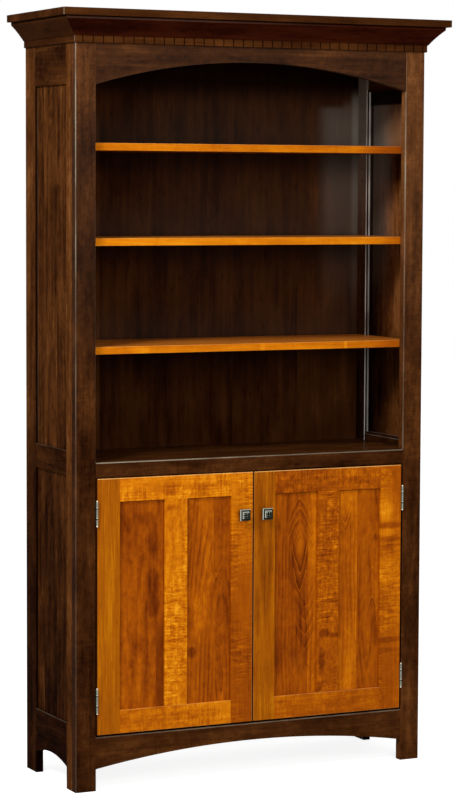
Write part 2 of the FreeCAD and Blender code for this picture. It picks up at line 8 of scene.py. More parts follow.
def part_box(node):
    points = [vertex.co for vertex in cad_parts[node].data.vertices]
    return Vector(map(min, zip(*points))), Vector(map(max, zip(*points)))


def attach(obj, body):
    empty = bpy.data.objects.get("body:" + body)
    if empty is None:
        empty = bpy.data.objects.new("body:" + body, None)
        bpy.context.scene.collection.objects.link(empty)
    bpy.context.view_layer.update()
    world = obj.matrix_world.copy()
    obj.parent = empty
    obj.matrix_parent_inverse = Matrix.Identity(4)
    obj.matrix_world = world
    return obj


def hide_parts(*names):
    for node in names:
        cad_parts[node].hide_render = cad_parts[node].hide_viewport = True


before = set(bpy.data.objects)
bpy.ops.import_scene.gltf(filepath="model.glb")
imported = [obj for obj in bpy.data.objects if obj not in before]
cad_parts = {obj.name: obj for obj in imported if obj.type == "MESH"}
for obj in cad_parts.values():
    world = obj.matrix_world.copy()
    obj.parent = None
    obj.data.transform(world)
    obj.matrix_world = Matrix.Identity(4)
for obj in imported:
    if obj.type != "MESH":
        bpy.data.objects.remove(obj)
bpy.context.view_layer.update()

# Looks for the bookcase: dark stained case, amber figured doors and shelves, pewter knobs and
# nickel hinges. All lengths are in metres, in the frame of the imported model.

PHOTO_LONG_SIDE = 800            # pixels
SENSOR = 36.0                    # millimetres along the photograph's long side


# ---------------- shader building
class Nodes:
    """Short ways to add nodes to one shader tree."""

    def __init__(self, tree):
        self.tree = tree

    def add(self, kind, **settings):
        node = self.tree.nodes.new(kind)
        for key, value in settings.items():
            setattr(node, key, value)
        return node

    def put(self, socket, value):
        if isinstance(value, bpy.types.NodeSocket):
            self.tree.links.new(value, socket)
        else:
            socket.default_value = value

    def fed(self, node, *values):
        """First output of a node whose inputs take the values in order."""
        for socket, value in zip(node.inputs, values):
            self.put(socket, value)
        return node.outputs[0]

    def feed(self, node, values):
        """Put values into a node's inputs by name."""
        for name, value in values.items():
            self.put(node.inputs[name], value)

    def math(self, operation, *values):
        return self.fed(self.add("ShaderNodeMath", operation=operation), *values)

    def times(self, first, *factors):
        for factor in factors:
            first = self.math("MULTIPLY", first, factor)
        return first

    def minus(self, value, part):
        return self.math("SUBTRACT", value, part)

    def away(self, value, centre):
        """Distance between a value and a centre."""
        return self.math("ABSOLUTE", self.minus(value, centre))

    def total(self, *terms):
        """Sum of terms; a (value, weight) pair counts value times weight."""
        result = None
        for term in terms:
            if isinstance(term, tuple):
                term = self.times(*term)
            result = term if result is None else self.math("ADD", result, term)
        return result

    def vector(self, x, y, z):
        return self.fed(self.add("ShaderNodeCombineXYZ"), x, y, z)

    def split(self, vector):
        node = self.add("ShaderNodeSeparateXYZ")
        self.put(node.inputs[0], vector)
        return node.outputs

    def stretched(self, vector, scale):
        return self.fed(self.add("ShaderNodeVectorMath", operation="MULTIPLY"), vector, scale)

    def noise(self, vector, detail=2.0, roughness=0.5, distortion=0.0):
        node = self.add("ShaderNodeTexNoise")
        self.feed(node, {"Vector": vector, "Scale": 1.0, "Detail": detail,
                         "Roughness": roughness, "Distortion": distortion})
        return node.outputs[0]

    def step(self, value, low, high, to_low=0.0, to_high=1.0):
        """Smooth step of value from low to high."""
        node = self.add("ShaderNodeMapRange", interpolation_type="SMOOTHSTEP")
        return self.fed(node, value, low, high, to_low, to_high)

    def ramp(self, value, stops):
        node = self.add("ShaderNodeValToRGB")
        elements = node.color_ramp.elements
        while len(elements) < len(stops):
            elements.new(0.5)
        for element, (place, colour) in zip(elements, stops):
            element.position = place
            element.color = (*colour, 1.0)
        self.put(node.inputs[0], value)
        return node.outputs[0]

    def mix(self, factor, low, high):
        """Mix of two colours, whose sockets come after those for numbers and vectors."""
        node = self.add("ShaderNodeMix", data_type="RGBA")
        self.put(node.inputs[0], factor)
        for socket, colour in zip(node.inputs[6:8], (low, high)):
            is_socket = isinstance(colour, bpy.types.NodeSocket)
            self.put(socket, colour if is_socket else (*colour, 1.0))
        return node.outputs[2]

    def bump(self, height, distance, strength):
        node = self.add("ShaderNodeBump")
        self.feed(node, {"Strength": strength, "Distance": distance, "Height": height})
        return node.outputs[0]


def new_material(name):
    material = bpy.data.materials.new(name)
    material.use_nodes = True
    nodes = Nodes(material.node_tree)
    return material, nodes, material.node_tree.nodes["Principled BSDF"]


def dress(node, material):
    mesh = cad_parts[node].data
    mesh.materials.clear()
    mesh.materials.append(material)


# ---------------- wood
FIGURE_INPUTS = {
    "Vector": None,
    "Seed": 0.0,
    "Tone": 0.5,
    "Ring Side": 0.0,       # middle of the growth rings, across the board
    "Ring Depth": 0.05,     # their distance behind the face
    "Ring Tilt": 0.0,       # how fast that distance changes along the board
    "Ring Middle": 0.0,     # place along the board where it is the Ring Depth
    "Ring Pitch": 0.012,
    "Ring Strength": 0.0,
    "Streak": 0.2,          # long soft streaks
    "Fibre": 0.1,           # fine lines
    "Curl": 0.0,            # bands across the grain
    "Mottle": 0.1,
    "Blotch": 0.3,
    "Fleck": 0.1,
}
FIGURE_CONTRAST = 1.5
SEED_ALONG = 7.31           # how far one whole seed moves the figure along the grain
SEED_DEPTH = 1.17           # and into the board
SEED_SPREAD = 0.618         # gives whole seeds fractions that differ


def build_figure_group():
    """Wood figure in grain space: X across the board, Y along the grain, Z into the board."""
    tree = bpy.data.node_groups.new("wood_figure", "ShaderNodeTree")
    for name, default in FIGURE_INPUTS.items():
        kind = "NodeSocketVector" if default is None else "NodeSocketFloat"
        socket = tree.interface.new_socket(name=name, in_out="INPUT", socket_type=kind)
        if default is not None:
            socket.default_value = default
    for name in ("Value", "Height"):
        tree.interface.new_socket(name=name, in_out="OUTPUT", socket_type="NodeSocketFloat")
    g = Nodes(tree)
    given = g.add("NodeGroupInput").outputs
    across, along, depth = g.split(given["Vector"])
    shifted = g.math("ADD", along, g.times(given["Seed"], SEED_ALONG))
    deeper = g.math("ADD", depth, g.times(given["Seed"], SEED_DEPTH))
    place = g.vector(across, shifted, deeper)

    def centred_noise(scale, **settings):
        return g.minus(g.noise(g.stretched(place, scale), **settings), 0.5)

    side = g.total(
        across, (given["Ring Side"], -1.0), (centred_noise((6.0, 2.0, 6.0), detail=2.0), 0.035))
    from_middle = g.minus(along, given["Ring Middle"])
    deep = g.total(
        given["Ring Depth"], (given["Ring Tilt"], from_middle),
        (centred_noise((0.6, 2.4, 0.6), detail=1.0), 0.030))
    radius = g.math("SQRT", g.total((side, side), (deep, deep)))
    ripple = g.noise(g.stretched(place, (45.0, 8.0, 45.0)), detail=3.0)
    phase = g.math("FRACT", g.total(g.math("DIVIDE", radius, given["Ring Pitch"]), (ripple, 1.1)))
    late_wood = g.times(g.math("POWER", phase, 2.2), g.step(phase, 0.80, 1.0, 1.0, 0.0))
    ring_mask = g.step(g.noise(g.stretched(place, (14.0, 5.0, 14.0)), detail=2.0), 0.40, 0.60, 0.1)
    ring = g.times(late_wood, ring_mask)

    streak = centred_noise((42.0, 2.4, 42.0), detail=3.0, roughness=0.55, distortion=0.3)
    fibre = centred_noise((260.0, 9.0, 260.0), detail=2.0)
    bands = centred_noise((18.0, 150.0, 18.0), detail=2.0, distortion=0.9)
    fine_bands = centred_noise((90.0, 260.0, 90.0), detail=1.0)
    curl_mask = g.step(g.noise(g.stretched(place, (9.0, 4.0, 9.0)), detail=1.0), 0.36, 0.60, 0.15)
    curl = g.times(g.total(bands, (fine_bands, 0.6)), curl_mask)
    mottle = centred_noise((75.0, 42.0, 75.0), detail=3.0, roughness=0.6, distortion=0.4)
    blotch = centred_noise((11.0, 4.2, 11.0), detail=3.0, roughness=0.55)
    fleck = g.step(g.noise(g.stretched(place, (150.0, 26.0, 150.0)), detail=1.0), 0.64, 0.76)

    figure = g.total(
        (blotch, given["Blotch"]),
        (streak, given["Streak"]),
        (fibre, given["Fibre"]),
        (curl, given["Curl"]),
        (mottle, given["Mottle"]),
        (g.minus(0.15, ring), given["Ring Strength"]),
        g.times(fleck, given["Fleck"], -1.0),
    )
    value = g.total(given["Tone"], (figure, FIGURE_CONTRAST))
    height = g.total((fibre, 0.6), (curl, 0.25), (ring, -0.15), (fleck, -0.35))
    out = g.add("NodeGroupOutput")
    g.put(out.inputs["Value"], value)
    g.put(out.inputs["Height"], height)
    return tree


# Stains as (place, linear colour) stops, from the deepest streaks to the brightest figure
DARK_STAIN = (
    (0.00, (0.0040, 0.0010, 0.0004)),
    (0.25, (0.0190, 0.0050, 0.0014)),
    (0.50, (0.0500, 0.0150, 0.0036)),
    (0.75, (0.1100, 0.0350, 0.0080)),
    (1.00, (0.2100, 0.0800, 0.0220)),
)
AMBER_STAIN = (
    (0.00, (0.0900, 0.0130, 0.0008)),
    (0.25, (0.2150, 0.0390, 0.0012)),
    (0.50, (0.3700, 0.0800, 0.0015)),
    (0.75, (0.6100, 0.1750, 0.0022)),
    (1.00, (0.8600, 0.3500, 0.0120)),
)
RED_STAIN = tuple((place, (1.10 * r, 0.66 * g, 0.80 * b)) for place, (r, g, b) in DARK_STAIN)
GOLDEN_STAIN = tuple((place, (0.96 * r, 1.16 * g, b)) for place, (r, g, b) in AMBER_STAIN)
# Colours of edges thin from wear and of painted highlight lines; the pale inner one is only painted
# highlight, on the dark inside
DARK_ARRIS = (0.27, 0.225, 0.16)
INNER_PAINTED_HIGHLIGHT = (0.78, 0.74, 0.66)
AMBER_ARRIS = (0.86, 0.46, 0.14)
PAINTED_SHEEN = (0.315, 0.290, 0.240)      # painted sheen: pale colour painted where the lacquer would catch the light

GRAIN_AXES = {                    # across, along, depth
    "upright": (0, 2, 1),         # boards on the front and back, grain up
    "level": (2, 0, 1),           # rails on the front, grain along X
    "side": (1, 2, 0),            # side boards, grain up
    "side_level": (2, 1, 0),      # side rails, grain from front to back
    "shelf": (1, 0, 2),           # flat boards, grain along X
}


def near_planes(nodes, xyz, planes):
    """1 where every plane, as (axis, place, half width), is near, and 0 away from them.

    A fourth number in a plane is the softness of its two limits.
    """
    result = 1.0
    for axis, centre, half_width, *softness in planes:
        away = nodes.away(xyz[axis], centre)
        soft = softness[0] if softness else min(half_width * 0.4, 0.004)
        near = nodes.step(away, half_width - soft, half_width + soft, 1.0, 0.0)
        result = nodes.times(result, near)
    return result


def cloud(nodes, place, spot, level, height):
    """Soft ragged spot, as (place, Z, half width, half height), that fades out from its middle."""
    middle, z, half_width, half_height = spot
    ragged = nodes.minus(nodes.noise(nodes.stretched(place, (26.0, 26.0, 9.0))), 0.5)
    u = nodes.math("DIVIDE", nodes.minus(level, middle), half_width)
    v = nodes.math("DIVIDE", nodes.minus(height, z), half_height)
    distance = nodes.total((u, u), (v, v), (ragged, 1.8))
    return nodes.step(distance, 0.0, 1.3, 1.0, 0.0)


def arches(nodes, place, xyz, arch):
    """Nested arches of late wood, each with a fine light line.

    arch: (X, Z, half width, height, pitch, count, change of tone), where X and Z are the tip of
        the outermost one; a negative height turns them over
    """
    x, z, half_width, height, pitch, count, change = arch
    noise = nodes.noise(nodes.stretched(place, (34.0, 34.0, 16.0)), detail=2.0)
    wobble = nodes.minus(noise, 0.5)
    side = nodes.math("DIVIDE", nodes.total(xyz[0], -x, (wobble, 0.012)), half_width)
    far = nodes.math("ABSOLUTE", side)
    inside = nodes.math("DIVIDE", nodes.minus(z, xyz[2]), height)
    inside = nodes.minus(inside, nodes.math("POWER", far, 1.5))
    number = nodes.times(inside, abs(height) / pitch)
    phase = nodes.math("FRACT", number)
    light = nodes.step(phase, 0.05, 0.13, 1.0, 0.0)
    late = nodes.times(nodes.step(phase, 0.08, 0.18), nodes.step(phase, 0.2, 0.9, 1.0, 0.0))
    shown = nodes.step(number, 0.0, 0.02)
    limits = (
        nodes.step(far, 0.75, 1.1, 1.0, 0.0), nodes.step(number, count - 0.6, count, 1.0, 0.0),
        nodes.step(noise, 0.30, 0.55, 0.35, 1.0))
    lines = nodes.total(light, (late, -0.8))
    return nodes.times(lines, nodes.times(shown, *limits), change)


def wood(node, stain, grain, seed, tone=0.5, rings=None, wear_and_highlights=(), dirt=(), clouds=(), painted_sheen=(),
         shade=(), arched=(), boards=None, fades=(), beyond=None, arris=1.0, rubbed_and_lit=None,
         change_x=0.0, roughness=0.36, gloss=0.02, **figure):
    """Give a piece a wood of its own.

    rings: growth rings that the face cuts, by the second words of the group's ring inputs; of a
        pair of values the second takes over past the plane X = change_x
    wear_and_highlights: ((planes, strength), ...) of edges thin from wear and of painted
    highlight lines; dirt: the same, but darkened as painted shade
    clouds: ((X, Z, half width, half height, change of tone), ...), with Y for X on the sides
    painted_sheen: ((strength, ((axis, place where it starts, place where it is full), ...)), ...)
    of a pale painted sheen; shade: the same, but of the deepest stain, as painted shade, and
    on one door board as a dark streak of the wood
    arched: nested arches in the figure, as arches() takes them
    boards: (first edge, board width, contrast) where the piece is glued up from narrower boards
    fades: ((axis, start, end, change of tone), ...) over the length of the piece
    beyond: (tone, axis, start, full) of the faces that fades, clouds and arches leave alone
    rubbed_and_lit: colour of the edges thin from wear and of the painted highlight lines
    """
    material, n, shader = new_material(node)
    coordinates = n.add("ShaderNodeTexCoord")
    place = coordinates.outputs["Object"]
    xyz = n.split(place)
    across, along, depth = (xyz[axis] for axis in GRAIN_AXES[grain])
    level = tone
    if boards:
        first, width, contrast = boards
        number = n.math("FLOOR", n.math("DIVIDE", n.minus(across, first), width))
        draw = n.add("ShaderNodeTexWhiteNoise", noise_dimensions="1D")
        n.put(draw.inputs["W"], n.math("ADD", number, seed))
        chance = draw.outputs["Value"]
        level = n.total(tone, (n.minus(chance, 0.5), contrast))
        depth = n.total(depth, (chance, 3.0))
    plain = level
    for axis, start, end, change in fades:
        level = n.total(level, n.step(xyz[axis], start, end, 0.0, change))
    sideways = xyz[1] if grain.startswith("side") else xyz[0]
    for *spot, change in clouds:
        level = n.total(level, (cloud(n, place, spot, sideways, xyz[2]), change))
    for arch in arched:
        level = n.total(level, arches(n, place, xyz, arch))
    if beyond:
        plain_tone, axis, start, full = beyond
        share = n.step(xyz[axis], start, full)
        rest = n.minus(1.0, share)
        level = n.total((level, rest), (n.math("ADD", plain, plain_tone - tone), share))
    group = n.add("ShaderNodeGroup", node_tree=FIGURE)
    n.put(group.inputs["Vector"], n.vector(across, along, depth))
    n.put(group.inputs["Seed"], seed + seed * SEED_SPREAD % 1.0)
    n.put(group.inputs["Tone"], level)
    for key, amount in (rings or {}).items():
        if isinstance(amount, tuple):
            first, second = amount
            past = n.step(xyz[0], change_x, change_x + 0.001)
            amount = n.total(first, (past, second - first))
        n.put(group.inputs[f"Ring {key.capitalize()}"], amount)
    for input_name, amount in figure.items():
        n.put(group.inputs[input_name.capitalize()], amount)
    colour = n.ramp(group.outputs["Value"], stain)

    bare = n.step(n.noise(n.stretched(place, (9.0, 9.0, 9.0))), 0.3, 0.62, 0.35, 1.0)
    if rubbed_and_lit is None:
        rubbed_and_lit = DARK_ARRIS if stain in (DARK_STAIN, RED_STAIN) else AMBER_ARRIS
    # Painted sheen in pale veils, then painted shade towards the deepest stain
    for veils, veil_colour in ((painted_sheen, PAINTED_SHEEN), (shade, stain[0][1])):
        for strength, ranges in veils:
            veil = strength
            for axis, start, full in ranges:
                veil = n.times(veil, n.step(xyz[axis], start, full))
            colour = n.mix(veil, colour, veil_colour)
    # Slanted faces of rounded arrises lightened: edge wear, and in part a painted highlight
    if arris:
        parts = [n.math("ABSOLUTE", part) for part in n.split(coordinates.outputs["Normal"])]
        squareness = n.math("MAXIMUM", n.math("MAXIMUM", parts[0], parts[1]), parts[2])
        slanted = n.step(squareness, 0.86, 0.97, arris, 0.0)
        colour = n.mix(n.times(slanted, bare), colour, rubbed_and_lit)
    # Edges thin from wear and painted highlight lines at given planes
    for planes, strength in wear_and_highlights:
        mark = n.times(near_planes(n, xyz, planes), strength)
        colour = n.mix(n.times(mark, bare), colour, rubbed_and_lit)
    # Painted shade in gaps, recesses and holes and under parts, darkened to the deepest stain
    for planes, strength in dirt:
        mark = n.times(near_planes(n, xyz, planes), strength)
        colour = n.mix(mark, colour, stain[0][1])

    n.feed(shader, {
        "Base Color": colour,
        "Roughness": n.total(roughness, (group.outputs["Height"], 0.22)),
        "Specular IOR Level": gloss,
        "Normal": n.bump(group.outputs["Height"], 0.00035, 0.5)})
    dress(node, material)


# ---------------- metal and plastic
def barrel_joints(n, place, tint, colour, patina):
    """Dark line where two knuckles of a hinge barrel meet, with a bright rim above it."""
    rim_colour = tuple(min(2.4 * part, 0.8) for part in colour)
    joint_colour = tuple(0.15 * part for part in patina)
    x, y, z = n.split(place)
    on_barrel = n.step(y, BARREL_BACK - 0.0008, BARREL_BACK, 1.0, 0.0)
    for joint_z in KNUCKLE_JOINTS:
        above = n.minus(z, joint_z)
        from_rim = n.away(above, KNUCKLE_RIM)
        rim = n.times(n.step(from_rim, 0.0008, 0.0020, 0.7, 0.0), on_barrel)
        from_joint = n.math("ABSOLUTE", above)
        joint = n.times(n.step(from_joint, 0.0009, 0.0022, 0.95, 0.0), on_barrel)
        tint = n.mix(joint, n.mix(rim, tint, rim_colour), joint_colour)
    return tint


def metal(name, colour, patina, roughness, jointed=False):
    """Metal with a darker patina in blotches; jointed where hinge barrels are made of it."""
    material, n, shader = new_material(name)
    place = n.add("ShaderNodeTexCoord").outputs["Object"]
    tarnish = n.noise(n.stretched(place, (160.0, 160.0, 160.0)), detail=3.0, roughness=0.65)
    grain = n.noise(n.stretched(place, (900.0, 900.0, 260.0)), detail=2.0)
    dull = n.step(tarnish, 0.42, 0.68, 0.0, 0.45)
    tint = n.mix(dull, colour, patina)
    if jointed:
        tint = barrel_joints(n, place, tint, colour, patina)
    n.feed(shader, {
        "Base Color": tint,
        "Metallic": n.minus(1.0, n.times(dull, 0.8)),
        "Roughness": n.total(roughness, (dull, 0.3), (grain, 0.12)),
        "Normal": n.bump(n.total(grain, (tarnish, 1.5)), 0.0002, 0.4)})
    return material


def antique_pewter(name, centre, face):
    """Blackened pewter of a square knob, bright from wear on its rim, inner square and studs;
    painted highlights make the upper left and the upper studs brighter.

    centre: (X, Z) of the knob; face: Y of its front, which the deeper parts lie behind
    """
    material, n, shader = new_material(name)
    place = n.add("ShaderNodeTexCoord").outputs["Object"]
    x, y, z = n.split(place)
    across = n.minus(x, centre[0])
    up = n.minus(z, centre[1])
    far_x = n.math("ABSOLUTE", across)
    far_z = n.math("ABSOLUTE", up)
    square = n.math("MAXIMUM", far_x, far_z)
    near_front = n.step(y, face + 0.0036, face + 0.0046, 1.0, 0.0)
    rim = n.times(n.step(square, KNOB_RIM - 0.0004, KNOB_RIM + 0.0004), near_front)
    ring = n.step(n.away(square, KNOB_RING), 0.0007, 0.0014, 1.0, 0.0)
    from_stud = n.math("MAXIMUM", n.away(far_x, KNOB_STUD), n.away(far_z, KNOB_STUD))
    stud = n.step(from_stud, 0.0010, 0.0017, 1.0, 0.0)
    # Painted highlight: the upper studs are brighter
    stud = n.times(stud, n.step(up, -0.007, 0.002, 0.45, 1.0))
    front = n.step(y, face + 0.0030, face + 0.0042, 1.0, 0.0)
    # Painted highlight: the rim and raised square are brighter towards the upper left
    lit_upper_left = n.step(n.minus(up, across), -0.006, 0.001, 0.04, 1.0)
    scratch = n.noise(n.stretched(place, (700.0, 700.0, 700.0)), detail=3.0)
    edges = n.times(n.math("MAXIMUM", rim, n.times(ring, front)), lit_upper_left)
    rubbed_and_lit = n.math("MAXIMUM", edges, n.times(stud, front))
    bright = n.times(rubbed_and_lit, n.step(scratch, 0.25, 0.55, 0.55, 1.0))
    n.feed(shader, {
        "Base Color": n.mix(bright, PEWTER_BLACK, PEWTER_RUBBED_AND_LIT),
        "Metallic": n.times(bright, 0.7),
        "Specular IOR Level": 0.06,
        "Roughness": n.total(0.50, (bright, -0.22), (scratch, 0.15)),
        "Normal": n.bump(scratch, 0.0002, 0.4)})
    return material


def plastic(name, colour, roughness):
    material, n, shader = new_material(name)
    place = n.add("ShaderNodeTexCoord").outputs["Object"]
    pebble = n.noise(n.stretched(place, (1400.0, 1400.0, 1400.0)), detail=1.0)
    shade = n.noise(n.stretched(place, (60.0, 60.0, 60.0)), detail=2.0)
    lighter = tuple(1.6 * part for part in colour)
    n.feed(shader, {
        "Base Color": n.mix(shade, colour, lighter),
        "Roughness": n.total(roughness, (shade, 0.15)),
        "Normal": n.bump(pebble, 0.0001, 0.5)})
    return material


FIGURE = build_figure_group()
OPENING_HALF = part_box("face_frame_right_stile")[0].x     # middle of the case to a face stile
EDGE_INSET = 0.0008               # edge of a board to the middle of its line of wear and painted highlight
PIN_ROW_INSET = 0.033             # rear edge of a side to its row of shelf pin holes
PANEL_ROOM = 0.001                # side panel to the end of its pocket
PANEL_RABBET = 0.012              # width of that pocket, seen from the inside
STOP_WIDTH = 0.007                # width of the stops' strips
MEETING_LINE = 0.0024             # middle of the case to the line of wear and painted highlight on each lock stile
PIN_LOW, PIN_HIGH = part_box("hinge_pins")
HINGE_LENGTH = 0.064
HINGE_PIN_HALF = 0.0374           # middle of a hinge to the end of its pin
KNUCKLE_HALF = 0.0142             # to the ends of its middle knuckle
KNUCKLE_RIM = 0.0024              # joint of two knuckles to the bright rim above it
HINGE_MIDDLES = (PIN_LOW.z + HINGE_PIN_HALF, PIN_HIGH.z - HINGE_PIN_HALF)
KNUCKLE_JOINTS = [z + side * KNUCKLE_HALF for z in HINGE_MIDDLES for side in (-1, 1)]
BARREL_BACK = PIN_LOW.y + PIN_HIGH.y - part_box("hinge_frame_leaves")[0].y
NICKEL = metal("nickel", (0.20, 0.21, 0.165), (0.085, 0.085, 0.065), 0.34, jointed=True)
BRIGHT_NICKEL = metal("bright_nickel", (0.62, 0.55, 0.44), (0.40, 0.35, 0.28), 0.30)
ZINC = metal("zinc", (0.60, 0.61, 0.62), (0.25, 0.25, 0.25), 0.32)
PEWTER_BLACK = (0.010, 0.014, 0.009)
# Colour of the knob's parts bright from wear and painted highlights
PEWTER_RUBBED_AND_LIT = (0.50, 0.51, 0.42)
KNOB_RIM = 0.0144                 # from the middle of the knob to its rim, bright from wear and a painted highlight
KNOB_RING = 0.0089                # to the middle of the raised square's border
KNOB_STUD = 0.0040                # to the bright spot of each stud, both ways, from wear and a painted highlight
KNOB_EASING = 0.0004              # width of its eased edges


# ---------------- dressing the CAD pieces
def ease(node, width):
    """Small real arrises on every square edge of a piece."""
    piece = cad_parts[node]
    weld = piece.modifiers.new("weld", "WELD")
    weld.merge_threshold = 0.00001
    bevel = piece.modifiers.new("ease", "BEVEL")
    bevel.width = width
    bevel.segments = 2
    bevel.limit_method = "ANGLE"
    bevel.angle_limit = math.radians(40)
    bevel.harden_normals = False


def hinge_shadows(x, half_width):
    """Dark line on a face stile beside each of its hinge barrels."""
    return tuple((((0, x, half_width), (2, z, HINGE_PIN_HALF)), 0.85) for z in HINGE_MIDDLES)


def dress_case():
    case_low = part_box("face_frame_left_stile")[0]
    rail_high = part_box("face_frame_mid_rail")[1]
    bottom_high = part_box("face_frame_bottom_rail")[1]
    board_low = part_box("top_board")[0]
    x_line = case_low.x + EDGE_INSET
    y_line = case_low.y + EDGE_INSET
    arch_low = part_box("face_frame_top_rail")[0].z
    open_bays = (2, (rail_high.z + arch_low) / 2, (arch_low - rail_high.z) / 2)
    door_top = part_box("left_door_hinge_stile")[1].z
    by_doors = (2, (door_top + bottom_high.z) / 2, (door_top - bottom_high.z) / 2)
    corner_line = ((0, x_line, 0.0015), (1, y_line, 0.0015))
    right_line = ((0, OPENING_HALF - 0.0005, 0.0022), (1, y_line, 0.0040))
    mid_rail_line = ((2, rail_high.z, 0.0024), (1, y_line, 0.0040))

    # Face stiles: a faint painted sheen; painted shadow beside the hinge barrels and in the gaps by
    # the doors; painted highlight lines with some wear along the outer corner and the open bays,
    # brighter towards the top. The right stile's inner edge face is painted lighter, as if lit.
    looks = {
        "left": dict(
            seed=3.0, tone=0.375, fades=((2, 1.35, 2.0, 0.10),), arris=0.0,
            painted_sheen=((0.014, ((2, 0.9, 1.7),)),),
            dirt=(*hinge_shadows(-OPENING_HALF - 0.0012, 0.0014),
                  (((0, -OPENING_HALF, 0.0006), by_doors), 0.9)),
            wear_and_highlights=(((*corner_line, (2, 2.2, 0.85, 0.60)), 0.90), (corner_line, 0.14),
                  (((0, -OPENING_HALF, 0.0016), (1, y_line, 0.0030), open_bays), 0.22))),
        "right": dict(
            seed=8.0, tone=0.51, arris=0.0,
            fades=((2, 0.8, 2.0, 0.20), (0, OPENING_HALF + 0.0006, OPENING_HALF + 0.0002, 0.16)),
            painted_sheen=((0.014, ((2, 0.9, 1.7),)),),
            dirt=(*hinge_shadows(OPENING_HALF + 0.0034, 0.0018),
                  (((0, OPENING_HALF, 0.0006), by_doors), 0.9)),
            wear_and_highlights=(((*right_line, open_bays), 0.35), ((*right_line, (2, 1.78, 0.20, 0.16)), 0.90))),
    }
    for side, look in looks.items():
        wood(f"face_frame_{side}_stile", DARK_STAIN, "upright", curl=0.16, blotch=0.60,
             streak=0.30, mottle=0.30, fibre=0.16, fleck=0.06, gloss=0.002, **look)
    # Rails: a faint painted sheen over the top rail, and painted highlight lines with some wear
    # along the top edges of the mid and bottom rails, brightest in the middle of the mid rail
    rails = {
        "top": dict(tone=0.42, seed=5.0, curl=0.12, arris=0.08, streak=0.46,
                    fades=((0, -0.40, -0.05, -0.06), (0, 0.10, 0.40, 0.04)),
                    painted_sheen=((0.016, ()),)),
        "mid": dict(tone=0.53, seed=6.0, curl=0.12, arris=0.0, fades=((0, -0.3, 0.3, -0.18),),
                    wear_and_highlights=((mid_rail_line, 0.50),
                          ((*mid_rail_line, (0, -0.30, 0.30, 0.20)), 0.85))),
        "bottom": dict(tone=0.44, seed=7.0, curl=0.10, arris=0.0, fades=((0, -0.3, 0.3, 0.08),),
                       wear_and_highlights=((((2, bottom_high.z, 0.0022), (1, y_line, 0.0040)), 0.45),)),
    }
    for name, look in rails.items():
        settings = dict(
            blotch=0.50, streak=0.34, mottle=0.26, fibre=0.16, fleck=0.05, gloss=0.002)
        settings.update(look)
        wood(f"face_frame_{name}_rail", DARK_STAIN, "level", **settings)

    for side, seed in (("left", 11.0), ("right", 31.0)):
        dress_side(side, seed)

    crown_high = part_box("crown_front")[1]
    on_fillet = (2, crown_high.z - 0.0085, crown_high.z - 0.0075)    # upright part of the crown
    # Painted light: the crown's upright fillet is painted lighter, as if lit
    lit_fillet = (*on_fillet, 0.13)
    dentil_low, dentil_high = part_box("dentil_front")
    back_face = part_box("back_panel")[0].y
    back_inside = (1, back_face + 0.003, back_face + 0.001)
    painted_sheen_heights = ((2, 1.22, 1.85),)
    # Painted shadow on the back panel under each shelf, and a faint painted glow just above it
    shelf_shadows = []
    shelf_glows = []
    for shelf in ("upper_shelf", "middle_shelf", "lower_shelf"):
        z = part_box(shelf)[0].z
        shelf_shadows.append((0.48, (back_inside, (2, z - 0.09, z), (2, z + 0.035, z + 0.005))))
        shelf_glows.append((0.024, (back_inside, (2, z + 0.16, z + 0.02), (2, z, z + 0.01))))
    plain = {
        # Back panel, inside: painted shadow under the top and under the shelves, bands of pale
        # painted sheen near the right end where the lacquer would reflect light, and a faint painted
        # sheen on the upper right half and just above the shelves
        "back_panel": ("upright", 0.40, dict(
            boards=(-0.53, 0.212, 0.22), blotch=0.40,
            shade=((0.88, (back_inside, (2, 1.89, 1.97))), *shelf_shadows),
            painted_sheen=((0.23, (back_inside, (0, 0.37, 0.43), (0, 0.482, 0.455), *painted_sheen_heights,
                          (2, 1.906, 1.884))),
                  (0.56, (back_inside, (0, 0.488, 0.508), *painted_sheen_heights, (2, 1.96, 1.92))),
                  (0.22, (back_inside, (0, 0.455, 0.482), (0, 0.508, 0.488), *painted_sheen_heights,
                          (2, 1.93, 1.88))),
                  (0.016, (back_inside, (2, 1.2, 1.6), (0, -0.35, 0.0))),
                  *shelf_glows))),
        "sub_top": ("shelf", 0.40, {}),
        "fixed_shelf": ("shelf", 0.52, dict(roughness=0.20)),
        "cabinet_floor": ("shelf", 0.47, {}),
        "top_board": ("shelf", 0.47, dict(
            curl=0.08, arris=0.0, gloss=0.0004,
            # A painted highlight line, with some wear, down the top board's front left corner
            wear_and_highlights=((((0, board_low.x, 0.0013), (1, board_low.y, 0.0013)), 0.9),))),
        # Crown front: the fillet painted lighter as if lit, with a pale painted sheen towards the
        # left
        "crown_front": ("level", 0.34, dict(
            stain=RED_STAIN, fades=(lit_fillet, (0, -0.25, -0.5, -0.10), (0, 0.1, 0.5, -0.05)),
            painted_sheen=((0.07, (on_fillet, (0, 0.4, -0.3))),))),
        "crown_left": ("side_level", 0.47, {}),
        "crown_right": ("side_level", 0.47, {}),
        # Dentils: painted shade in the kerfs and along the strips just behind their faces, and a
        # painted highlight line, with some wear, on the front strip's left corner
        "dentil_front": ("level", 0.57, dict(
            fades=((0, -0.1, 0.3, -0.08),), dirt=((((1, dentil_low.y + 0.0030, 0.0024),), 0.95),),
            wear_and_highlights=((((0, dentil_low.x, 0.0018), (1, dentil_low.y, 0.0020)), 0.60),))),
        "dentil_left": ("side_level", 0.42, dict(
            dirt=((((0, dentil_low.x + 0.0034, 0.0024),), 0.95),))),
        "dentil_right": ("side_level", 0.42, dict(
            dirt=((((0, dentil_high.x - 0.0034, 0.0024),), 0.95),))),
        "catch_block": ("level", 0.45, {}),
    }
    for seed, (node, (grain, tone, extra)) in enumerate(plain.items(), start=50):
